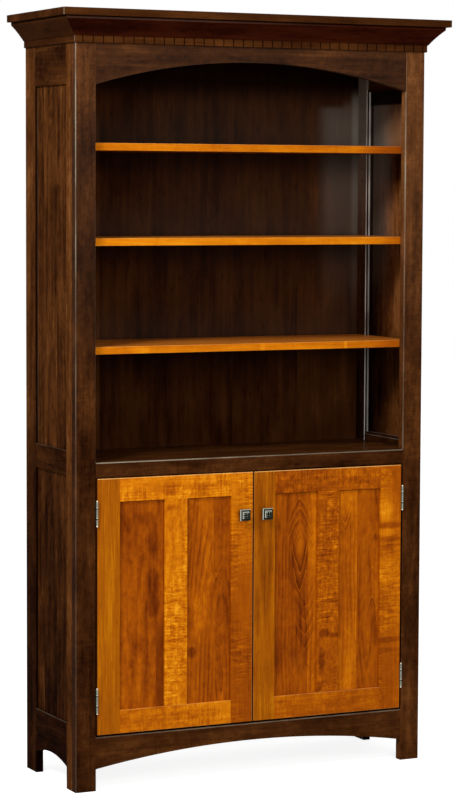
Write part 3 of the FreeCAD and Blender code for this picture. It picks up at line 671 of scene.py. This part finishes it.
        settings = dict(
            stain=DARK_STAIN, blotch=0.40, streak=0.28, fibre=0.12, fleck=0.08, gloss=0.002)
        if node.startswith(("crown", "dentil")):
            settings.update(arris=0.0, gloss=0.0004)
        if node.startswith("crown"):
            # Crown: the fillet painted lighter as if lit, and a painted shadow along its top, under
            # the top board
            settings.update(fades=(lit_fillet,), dirt=((((2, crown_high.z, 0.0036),), 0.95),))
        settings.update(extra)
        wood(node, grain=grain, seed=float(seed), tone=tone, **settings)


def dress_side(side, seed):
    """Side frame: its outside is seen on the left in the photograph, its inside on the right."""
    inner = side == "right"
    low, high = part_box(f"{side}_side_rear_stile")
    x_inside, x_outside = (low.x, high.x) if inner else (high.x, low.x)
    panel_low, panel_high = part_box(f"{side}_side_upper_panel")
    y_pocket = panel_high.y + PANEL_ROOM
    y_lip = y_pocket - PANEL_RABBET
    common = dict(
        blotch=0.60, streak=0.46, fibre=0.18, fleck=0.12, mottle=0.30, arris=0.0, gloss=0.0004)
    rear = dict(tone=0.23, fades=((2, 0.3, 1.6, 0.52),))
    y_holes = high.y - PIN_ROW_INSET
    hole_middle = math.copysign(0.0070, x_outside)
    x_holes = (x_inside + hole_middle, 0.0062, 0.0006)
    # Painted shade on the rear stile: a dark line along the panel's recess, inside the shelf pin
    # holes, and on its front face near the floor
    rear["dirt"] = (
        (((1, y_lip, 0.0006), (0, x_outside, 0.0100)), 0.85),
        (((1, y_holes, 0.0036), (0, *x_holes)), 1.0),
        (((1, low.y, 0.0030), (2, 0.0, 0.088)), 0.85))
    if inner:
        # Inside of the right rear stile: a pale painted highlight line at the pocket's edge, strong
        # painted sheen high up, painted shade low down, and painted shade on the pocket's wall
        rear["wear_and_highlights"] = ((((1, y_pocket, 0.0024), (0, x_inside, 0.0019)), 1.0),)
        stile_inside = (0, x_inside + 0.003, x_inside + 0.002)
        rear["painted_sheen"] = ((0.72, ((2, 1.35, 1.95), stile_inside)),)
        rear["shade"] = ((0.55, ((2, 1.60, 1.40), stile_inside)),)
        rear["dirt"] += ((((1, y_pocket, 0.0008), (0, x_inside + 0.0090, 0.0055)), 0.75),)
        rear["rubbed_and_lit"] = INNER_PAINTED_HIGHLIGHT
    wood(f"{side}_side_front_stile", DARK_STAIN, "side", seed, tone=0.62,
         fades=((2, 0.2, 1.1, 0.14),), **common)
    wood(f"{side}_side_rear_stile", DARK_STAIN, "side", seed + 1, **rear, **common)
    for name, tone, offset in (("top", 0.49, 2), ("mid", 0.40, 3), ("bottom", 0.19, 4)):
        z_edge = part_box(f"{side}_side_{name}_rail")[1].z
        # Painted highlight lines, with some wear, along the rails' top edges
        upper_edge = ((2, z_edge, 0.0014), (0, x_outside, 0.0020))
        wear_and_highlights = [(upper_edge, 0.30)]
        if inner and name == "mid":
            wear_and_highlights.append((((2, z_edge - PANEL_RABBET, 0.0014), (0, x_inside, 0.0019)), 0.85))
        wood(f"{side}_side_{name}_rail", DARK_STAIN, "side_level", seed + offset, tone=tone,
             wear_and_highlights=wear_and_highlights, **common)
    common.update(rings=dict(side=0.03, depth=0.03, tilt=0.03, pitch=0.016, strength=0.20))
    lit_edge = ((1, y_lip - 0.0035, 0.0022), (0, x_outside, 0.0100))
    upper = dict(tone=0.49, fades=((2, 0.95, 1.8, 0.06), (1, 0.083, 0.085, 0.07)),
                 clouds=((0.033, 1.857, 0.016, 0.016, -0.20), (-0.015, 1.65, 0.022, 0.020, -0.16)),
                 wear_and_highlights=((lit_edge, 0.16),))
    if inner:
        # Inside of the right upper panel, painted as if lit: a lighter tone than its outside,
        # lighter towards the front and darker low down, painted pools of light in the bays, a
        # painted shadow under the upper shelf, a pale painted sheen high up towards the rear, and
        # painted shadow under the top rail and along the rear edge
        x_back = panel_low.x
        shade = ((0, x_back, 0.002), (2, panel_high.z - 0.020, 0.026))
        panel_inside = (0, x_back + 0.003, x_back + 0.001)
        corner = ((0, x_back, 0.002), (1, panel_high.y - 0.018, 0.0075))
        upper = dict(
            tone=0.84, fades=((1, -0.03, 0.10, -0.44), (2, 1.55, 1.15, -0.14)),
            beyond=(0.53, 0, x_back + 0.002, x_back + 0.004),
            clouds=((0.000, 1.815, 0.060, 0.060, 0.34), (-0.02, 1.565, 0.045, 0.080, 0.08),
                    (-0.02, 1.265, 0.045, 0.080, 0.12), (0.00, 1.71, 0.09, 0.05, -0.30)),
            painted_sheen=((0.40, (panel_inside, (2, 1.25, 1.85), (1, -0.02, 0.07))),
                  (0.12, (panel_inside, (2, 1.76, 1.80)))),
            dirt=((shade, 0.95), (corner, 0.80)))
    board_width = 0.092
    wood(f"{side}_side_upper_panel", DARK_STAIN, "side", seed + 5,
         boards=(panel_low.y, board_width, 0.12), **upper, **common)
    wood(f"{side}_side_lower_panel", DARK_STAIN, "side", seed + 6, tone=0.36,
         boards=(panel_low.y, board_width, 0.07), fades=((2, 0.3, 0.8, 0.10),), **common)


def dress_stops():
    """Stops inside the side panels, with painted highlight lines on the edges of their rear and
    lower strips.
    """
    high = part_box("side_panel_stops")[1]
    z_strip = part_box("right_side_mid_rail")[1].z - PANEL_RABBET + STOP_WIDTH
    x_rubbed = high.x - 0.0024
    wear_and_highlights = []
    for x in (-x_rubbed, x_rubbed):
        strip_edge = ((1, high.y - STOP_WIDTH, 0.0016), (0, x, 0.0028, 0.0005))
        lower_edge = ((2, z_strip, 0.0011), (0, x, 0.0028, 0.0005))
        wear_and_highlights += [(strip_edge, 0.40), ((*strip_edge, (2, 1.75, 0.25, 0.20)), 1.0), (lower_edge, 0.30)]
    wood("side_panel_stops", DARK_STAIN, "side", 61.0, tone=0.30, blotch=0.3, streak=0.2,
         arris=0.0, rubbed_and_lit=INNER_PAINTED_HIGHLIGHT, wear_and_highlights=wear_and_highlights)


def dress_shelves():
    looks = {
        "upper_shelf": dict(tone=0.62, fades=((0, 0.30, 0.48, -0.24),)),
        "middle_shelf": dict(tone=0.76, fades=((0, 0.36, 0.48, -0.08),)),
        "lower_shelf": dict(
            tone=0.68, fades=((0, 0.36, 0.48, -0.14),),
            clouds=((-0.340, 1.213, 0.034, 0.030, 0.12), (0.041, 1.213, 0.009, 0.040, 0.10),
                    (0.305, 1.213, 0.005, 0.050, 0.17))),
        "cabinet_shelf": dict(tone=0.70),
    }
    for seed, (node, look) in enumerate(looks.items(), start=70):
        low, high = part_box(node)
        wood(node, AMBER_STAIN, "shelf", float(seed), curl=0.07, blotch=0.36, streak=0.36,
             fibre=0.14, fleck=0.05, mottle=0.10, roughness=0.24, arris=0.25,
             beyond=(look["tone"], 1, low.y + 0.0005, low.y + 0.002),
             # Pale painted sheen on the shelves' tops, and painted shade on their undersides
             painted_sheen=((0.06, ((2, high.z - 0.0015, high.z - 0.0005),)),),
             dirt=((((2, low.z, 0.0008),), 0.8),), **look)


def panel_shadows(side):
    """Painted shadow along the panels' edges, most of all under the top rail."""
    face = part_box(f"{side}_door_panels")[0].y
    edges = [(2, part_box(f"{side}_door_top_rail")[0].z, 0.0030, 0.60)]
    for member in ("hinge_stile", "mullion", "lock_stile"):
        low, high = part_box(f"{side}_door_{member}")
        edges += [(0, low.x, 0.0020, 0.40), (0, high.x, 0.0020, 0.40)]
    return tuple((((axis, place, half_width), (1, face, 0.0015)), strength)
                 for axis, place, half_width, strength in edges)


def dress_doors():
    looks = {
        "left_door_hinge_stile": dict(
            stain=GOLDEN_STAIN, tone=0.46, streak=0.36, fibre=0.30, blotch=0.12),
        "left_door_lock_stile": dict(
            tone=0.41, curl=0.55, blotch=0.24,
            fades=((2, 0.50, 0.80, 0.18), (2, 0.76, 0.86, 0.14))),
        "left_door_top_rail": dict(
            tone=0.69, curl=0.40, mottle=0.36, blotch=0.26, fibre=0.30,
            clouds=((-0.256, 0.830, 0.034, 0.022, -0.14), (-0.157, 0.820, 0.040, 0.026, -0.14))),
        "left_door_bottom_rail": dict(tone=0.63, curl=0.35, mottle=0.35, blotch=0.30),
        "left_door_mullion": dict(
            tone=0.69, curl=0.50, mottle=0.46, blotch=0.16,
            clouds=((-0.244, 0.402, 0.034, 0.007, -0.24), (-0.248, 0.774, 0.020, 0.010, -0.16),
                    (-0.236, 0.498, 0.012, 0.010, 0.20))),
        "left_door_panels": dict(
            tone=0.36, blotch=0.34, streak=0.34, mottle=0.30,
            boards=(-0.4717, 0.1757, 0.22), fades=((0, -0.241, -0.239, 0.11),),
            shade=((0.50, ((0, -0.2965, -0.2955), (0, -0.240, -0.241), (2, 0.50, 0.38))),),
            arched=((-0.111, 0.556, 0.018, -0.060, 0.022, 2, 0.16),
                    (-0.103, 0.423, 0.016, -0.035, 0.020, 1, 0.16),
                    (-0.103, 0.366, 0.016, -0.030, 0.020, 1, 0.14),
                    (-0.186, 0.760, 0.020, -0.050, 0.026, 2, 0.12)),
            change_x=-0.24, rings=dict(
                side=(-0.38, -0.095), depth=(0.05, 0.016), tilt=(-0.06, 0.15),
                middle=(0.5, 0.38), pitch=(0.019, 0.013), strength=(0.14, 0.22)),
            clouds=((-0.325, 0.748, 0.030, 0.020, -0.14), (-0.304, 0.682, 0.020, 0.050, -0.24),
                    (-0.306, 0.564, 0.024, 0.045, -0.18), (-0.306, 0.498, 0.028, 0.032, -0.20),
                    (-0.353, 0.395, 0.024, 0.038, -0.16), (-0.187, 0.362, 0.014, 0.018, -0.26),
                    (-0.194, 0.462, 0.016, 0.055, -0.14))),
        "right_door_lock_stile": dict(
            stain=GOLDEN_STAIN, tone=0.45, streak=0.56, fibre=0.30, blotch=0.26,
            clouds=((0.0145, 0.46, 0.010, 0.090, -0.18),)),
        "right_door_top_rail": dict(
            tone=0.34, curl=0.40, mottle=0.46, blotch=0.20,
            fades=((0, 0.20, 0.32, 0.14),), clouds=((0.10, 0.832, 0.05, 0.02, -0.06),)),
        "right_door_bottom_rail": dict(tone=0.46, curl=0.20, mottle=0.34, blotch=0.26),
        "right_door_mullion": dict(
            tone=0.45, curl=0.50, mottle=0.52, blotch=0.20,
            clouds=((0.230, 0.390, 0.020, 0.014, -0.32), (0.266, 0.383, 0.020, 0.010, -0.28),
                    (0.220, 0.310, 0.013, 0.040, -0.24), (0.248, 0.482, 0.034, 0.007, -0.20),
                    (0.232, 0.437, 0.022, 0.006, -0.18), (0.256, 0.71, 0.018, 0.090, -0.10),
                    (0.232, 0.62, 0.020, 0.040, -0.06), (0.238, 0.29, 0.03, 0.05, -0.05))),
        "right_door_hinge_stile": dict(
            tone=0.55, curl=0.40, mottle=0.20, blotch=0.30,
            fades=((2, 0.42, 0.28, -0.10), (2, 0.755, 0.80, -0.07)),
            clouds=((0.440, 0.689, 0.055, 0.010, -0.20), (0.446, 0.650, 0.050, 0.009, -0.18),
                    (0.430, 0.628, 0.034, 0.009, -0.14), (0.428, 0.669, 0.032, 0.014, 0.16),
                    (0.424, 0.733, 0.026, 0.034, 0.18), (0.428, 0.558, 0.030, 0.055, 0.18),
                    (0.447, 0.357, 0.055, 0.010, -0.20), (0.438, 0.327, 0.040, 0.008, -0.12))),
        "right_door_panels": dict(
            tone=0.42, blotch=0.24, streak=0.32, mottle=0.26,
            boards=(0.018, 0.159, 0.18), fades=((0, 0.1765, 0.1775, 0.06), (0, 0.239, 0.241, 0.01)),
            change_x=0.24, rings=dict(
                side=(0.153, 0.378), depth=(0.012, 0.010), tilt=(0.085, 0.10),
                middle=0.56, pitch=(0.0120, 0.0125), strength=(0.20, 0.18)),
            arched=((0.150, 0.782, 0.034, 0.060, 0.028, 3, 0.20),
                    (0.152, 0.703, 0.022, 0.075, 0.022, 2, 0.20),
                    (0.152, 0.513, 0.027, -0.100, 0.050, 2, 0.26),
                    (0.168, 0.346, 0.032, -0.060, 0.040, 4, 0.15),
                    (0.387, 0.571, 0.015, 0.035, 0.030, 1, 0.20),
                    (0.387, 0.486, 0.017, 0.045, 0.030, 1, 0.24),
                    (0.297, 0.676, 0.023, -0.058, 0.024, 2, 0.18)),
            clouds=((0.140, 0.500, 0.034, 0.120, -0.16), (0.152, 0.660, 0.012, 0.060, 0.14),
                    (0.092, 0.333, 0.026, 0.065, -0.14), (0.150, 0.350, 0.030, 0.080, -0.10),
                    (0.300, 0.690, 0.026, 0.050, -0.10), (0.398, 0.656, 0.010, 0.012, -0.22),
                    (0.395, 0.390, 0.014, 0.050, -0.14))),
    }
    lock_low, lock_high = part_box("left_door_lock_stile")
    # Doors: lines of wear and painted highlight along the top edges, the bottom rails' top edges and
    # the lock stiles' meeting edges
    top_edge = ((2, lock_high.z - 0.0006, 0.0012), (1, lock_low.y, 0.0014))
    for seed, (node, look) in enumerate(looks.items(), start=90):
        settings = dict(
            stain=AMBER_STAIN, grain="level" if node.endswith("rail") else "upright",
            fibre=0.16, fleck=0.06, arris=0.6, wear_and_highlights=((top_edge, 0.75),))
        settings.update(look)
        if node.endswith("bottom_rail"):
            inner_edge = ((2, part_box(node)[1].z, 0.0013), (1, lock_low.y, 0.0020))
            settings["wear_and_highlights"] += ((inner_edge, 0.30),)
        if node.endswith("panels"):
            settings.update(dirt=panel_shadows(node[:node.index("_")]))
        if node.endswith("lock_stile"):
            x_line = math.copysign(MEETING_LINE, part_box(node)[0].x)
            # Painted shade in the gap between the doors
            settings.update(arris=0.0, dirt=((((0, 0.0, 0.0026),), 0.95),))
            settings["wear_and_highlights"] += ((((0, x_line, 0.0008),), 0.45),)
        if node.endswith("hinge_stile"):
            low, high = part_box(node)
            x_edge = low.x if low.x < 0.0 else high.x
            # Painted shade in the gap by the hinge stile's edge
            settings.update(dirt=((((0, x_edge, 0.0007),), 0.92),))
        wood(node, seed=float(seed), **settings)


def front_centre(node):
    """(X, Z) of the middle of a piece."""
    low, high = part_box(node)
    return (low.x + high.x) / 2, (low.z + high.z) / 2


def dress_hardware():
    for node in ("hinge_pins", "hinge_frame_leaves"):
        dress(node, NICKEL)
    dress("shelf_pins", ZINC)
    dress("door_catch", plastic("catch_plastic", (0.035, 0.018, 0.011), 0.45))
    for side in ("left", "right"):
        dress(f"{side}_door_hinge_leaves", NICKEL)
        dress(f"{side}_door_knob_screw", ZINC)
        dress(f"{side}_door_strike", ZINC)
        knob = f"{side}_door_knob"
        dress(knob, antique_pewter(f"pewter_{side}", front_centre(knob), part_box(knob)[0].y))
        ease(knob, KNOB_EASING)


# ---------------- small turned pieces
TURN_STEPS = 24
MERGE_DISTANCE = 0.000001
PAN_HEIGHT = 0.0024               # of a knob screw's head


def turned(profile):
    """Shape turned about Z from (radius, height) points."""
    shape = bmesh.new()
    line = [shape.verts.new((radius, 0.0, height)) for radius, height in profile]
    edges = [shape.edges.new(pair) for pair in zip(line, line[1:])]
    bmesh.ops.spin(
        shape, geom=line + edges, cent=(0.0, 0.0, 0.0), axis=(0.0, 0.0, 1.0),
        angle=2.0 * math.pi, steps=TURN_STEPS, use_merge=True)
    bmesh.ops.remove_doubles(shape, verts=shape.verts[:], dist=MERGE_DISTANCE)
    bmesh.ops.recalc_face_normals(shape, faces=shape.faces[:])
    return shape


def slotted_head(radius, height, slot_width, slot_depth):
    """Low screw head on the plane Z = 0 with a slot sunk across its top."""
    rim = 0.35 * height
    dome = [(radius * math.cos(angle), rim + (height - rim) * math.sin(angle))
            for angle in (0.0, 0.35, 0.70, 1.05)]
    shape = turned([(0.0, 0.0), (radius, 0.0), *dome, (0.0, height)])
    for side in (-1.0, 1.0):
        bmesh.ops.bisect_plane(
            shape, geom=shape.verts[:] + shape.edges[:] + shape.faces[:], dist=MERGE_DISTANCE,
            plane_co=(side * slot_width / 2, 0.0, 0.0), plane_no=(1.0, 0.0, 0.0))
    floor = [
        face for face in shape.faces
        if abs(face.calc_center_median().x) < slot_width / 2 and face.normal.z > 0.2]
    sunk = bmesh.ops.extrude_face_region(shape, geom=floor)["geom"]
    for vert in sunk:
        if isinstance(vert, bmesh.types.BMVert):
            vert.co.z = height - slot_depth
    bmesh.ops.delete(shape, geom=floor, context="FACES")
    bmesh.ops.recalc_face_normals(shape, faces=shape.faces[:])
    return shape


def stamp(name, shape, places, body, material):
    """One piece on a body with a copy of a shape at each place."""
    mesh = bpy.data.meshes.new(name)
    shape.to_mesh(mesh)
    whole = bmesh.new()
    for place in places:
        known = set(whole.verts)
        whole.from_mesh(mesh)
        added = [vert for vert in whole.verts if vert not in known]
        bmesh.ops.transform(whole, matrix=place, verts=added)
    whole.to_mesh(mesh)
    mesh.polygons.foreach_set("use_smooth", [True] * len(mesh.polygons))
    mesh.set_sharp_from_angle(angle=math.radians(35))
    mesh.materials.append(material)
    piece = link(bpy.data.objects.new(name, mesh))
    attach(piece, body)
    return piece


def facing(direction, place, twist):
    """Matrix that turns Z towards a direction and moves the origin to a place."""
    turn = Vector(direction).to_track_quat("Z", "Y").to_matrix().to_4x4()
    return Matrix.Translation(place) @ turn @ Matrix.Rotation(twist, 4, "Z")


def make_hinge_pins():
    """Round pins with a ball on a small collar at each end."""
    pin, collar, neck, ball = 0.0015, 0.0026, 0.0018, 0.0027    # radii
    barrel_end = HINGE_LENGTH / 2
    ball_height = HINGE_PIN_HALF - ball
    top = [(pin, 0.0), (pin, barrel_end - 0.0002), (collar, barrel_end + 0.0001),
           (collar, barrel_end + 0.0005), (neck, barrel_end + 0.0007)]
    ball_steps = 8
    for step in range(1, ball_steps + 1):
        angle = -0.25 * math.pi + 0.75 * math.pi * step / ball_steps
        top.append((ball * math.cos(angle), ball_height + ball * math.sin(angle)))
    top[-1] = (0.0, HINGE_PIN_HALF)
    below = [(radius, -height) for radius, height in reversed(top[1:])]
    x_pin = PIN_HIGH.x - (PIN_HIGH.y - PIN_LOW.y) / 2
    y_pin = (PIN_LOW.y + PIN_HIGH.y) / 2
    places = [
        Matrix.Translation((x, y_pin, z))
        for x in (-x_pin, x_pin) for z in HINGE_MIDDLES]
    pins = stamp(
        "ball_tipped_pins", turned(below + top), places, "case", BRIGHT_NICKEL)
    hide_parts("hinge_pins")


def make_leaf_screws():
    """Three slotted screws in each hinge leaf, which show when a door stands open."""
    head = slotted_head(radius=0.0026, height=0.0003, slot_width=0.0007, slot_depth=0.0002)
    spacing = 0.022
    leaf_thickness = 0.0018
    x_door_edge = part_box("right_door_hinge_stile")[1].x
    y_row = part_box("hinge_frame_leaves")[1].y - 0.0075
    frame_places = []
    for name, side in (("left", -1.0), ("right", 1.0)):
        x_frame = side * (OPENING_HALF - leaf_thickness)
        x_door = side * (x_door_edge + leaf_thickness)
        door_places = []
        for z in HINGE_MIDDLES:
            for row in (-1, 0, 1):
                place_z = z + row * spacing
                twist = 0.9 * row + 0.5 * side + 7.0 * z
                frame_places.append(facing((-side, 0, 0), (x_frame, y_row, place_z), twist))
                door_places.append(facing((side, 0, 0), (x_door, y_row, place_z), twist + 0.8))
        stamp(f"{name}_door_leaf_screws", head, door_places, f"{name}_door",
              BRIGHT_NICKEL)
    stamp("frame_leaf_screws", head, frame_places, "case", BRIGHT_NICKEL)


def make_door_screws():
    """Knob screws with slotted pan heads, and two small screws in each strike plate."""
    small = slotted_head(radius=0.0019, height=0.0003, slot_width=0.0006, slot_depth=0.0002)
    half_spacing = 0.0065
    for side in ("left", "right"):
        node = f"{side}_door_knob_screw"
        low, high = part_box(node)
        pan = slotted_head((high.x - low.x) / 2, PAN_HEIGHT, slot_width=0.0011, slot_depth=0.0010)
        x, z = front_centre(node)
        knob_screw = stamp(
            f"{side}_knob_pan_screw", pan, [facing((0, 1, 0), (x, high.y - PAN_HEIGHT, z), 0.6)],
            f"{side}_door", ZINC)
        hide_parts(node)
        strike = f"{side}_door_strike"
        x, z = front_centre(strike)
        places = [
            facing((0, 1, 0), (x + shift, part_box(strike)[1].y, z), twist)
            for shift, twist in ((-half_spacing, 0.3), (half_spacing, 1.2))]
        stamp(f"{side}_strike_screws", small, places, f"{side}_door", ZINC)


# ---------------- stage
def link(thing):
    bpy.context.scene.collection.objects.link(thing)
    return thing


def seen_directly(n):
    """1 for rays that show the background itself: camera, glossy and transmission rays."""
    path = n.add("ShaderNodeLightPath")
    seen = n.math("MAXIMUM", path.outputs["Is Camera Ray"], path.outputs["Is Glossy Ray"])
    return n.math("MAXIMUM", seen, path.outputs["Is Transmission Ray"])


def make_floor():
    mesh = bpy.data.meshes.new("floor")
    half = 14.0
    below_feet = 0.0005
    corners = [(-half, -half, 0), (half, -half, 0), (half, half, 0), (-half, half, 0)]
    mesh.from_pydata(corners, [], [(0, 1, 2, 3)])
    floor = link(bpy.data.objects.new("floor", mesh))
    floor.location.z = -below_feet
    material, n, shader = new_material("pale_floor")
    n.feed(shader, {
        "Base Color": (0.56, 0.56, 0.55, 1.0),
        "Roughness": 0.9,
        "Specular IOR Level": 0.0,
        "Emission Color": (1.0, 1.0, 1.0, 1.0),
        "Emission Strength": n.times(seen_directly(n), 0.84)})
    mesh.materials.append(material)


def make_world():
    world = bpy.data.worlds.new("studio")
    bpy.context.scene.world = world
    world.use_nodes = True
    n = Nodes(world.node_tree)
    n.feed(world.node_tree.nodes["Background"], {
        "Color": (1.0, 1.0, 1.0, 1.0),
        "Strength": n.step(seen_directly(n), 0.0, 1.0, 0.42, 1.0)})


def softbox(name, place, target, size, watts):
    lamp = bpy.data.lights.new(name, "AREA")
    lamp.shape = "RECTANGLE"
    lamp.size, lamp.size_y = size
    lamp.energy = watts
    thing = link(bpy.data.objects.new(name, lamp))
    thing.location = place
    aim = Vector(target) - Vector(place)
    thing.rotation_euler = aim.to_track_quat("-Z", "Y").to_euler()


def make_lights():
    softbox("key", (-3.3, -2.3, 4.0), (0.0, 0.0, 1.3), (1.1, 1.3), 165.0)
    softbox("fill", (-0.6, -4.8, 2.3), (0.0, 0.0, 1.1), (2.0, 2.2), 100.0)


def make_camera():
    """Camera solved from the photograph's corners, in front and to the left."""
    place = Vector((-3.30397, -6.79377, 1.65355))
    yaw = math.radians(25.88)
    pitch = math.radians(-4.54)
    roll = math.radians(0.23)
    focal_pixels = 2658.81
    data = bpy.data.cameras.new("camera")
    data.sensor_width = SENSOR
    data.lens = focal_pixels / PHOTO_LONG_SIDE * SENSOR
    data.clip_start, data.clip_end = 0.1, 100.0
    camera = link(bpy.data.objects.new("camera", data))
    forward = Vector((
        math.sin(yaw) * math.cos(pitch), math.cos(yaw) * math.cos(pitch), math.sin(pitch)))
    right = Vector((math.cos(yaw), -math.sin(yaw), 0.0))
    up = right.cross(forward)
    rolled_right = right * math.cos(roll) + up * math.sin(roll)
    rolled_up = up * math.cos(roll) - right * math.sin(roll)
    turn = Matrix((rolled_right, rolled_up, -forward)).transposed()
    camera.matrix_world = Matrix.Translation(place) @ turn.to_4x4()
    bpy.context.scene.camera = camera


dress_case()
dress_stops()
dress_shelves()
dress_doors()
dress_hardware()
make_hinge_pins()
make_leaf_screws()
make_door_screws()
make_floor()
make_world()
make_lights()
make_camera()
bpy.context.scene.view_settings.view_transform = "Standard"
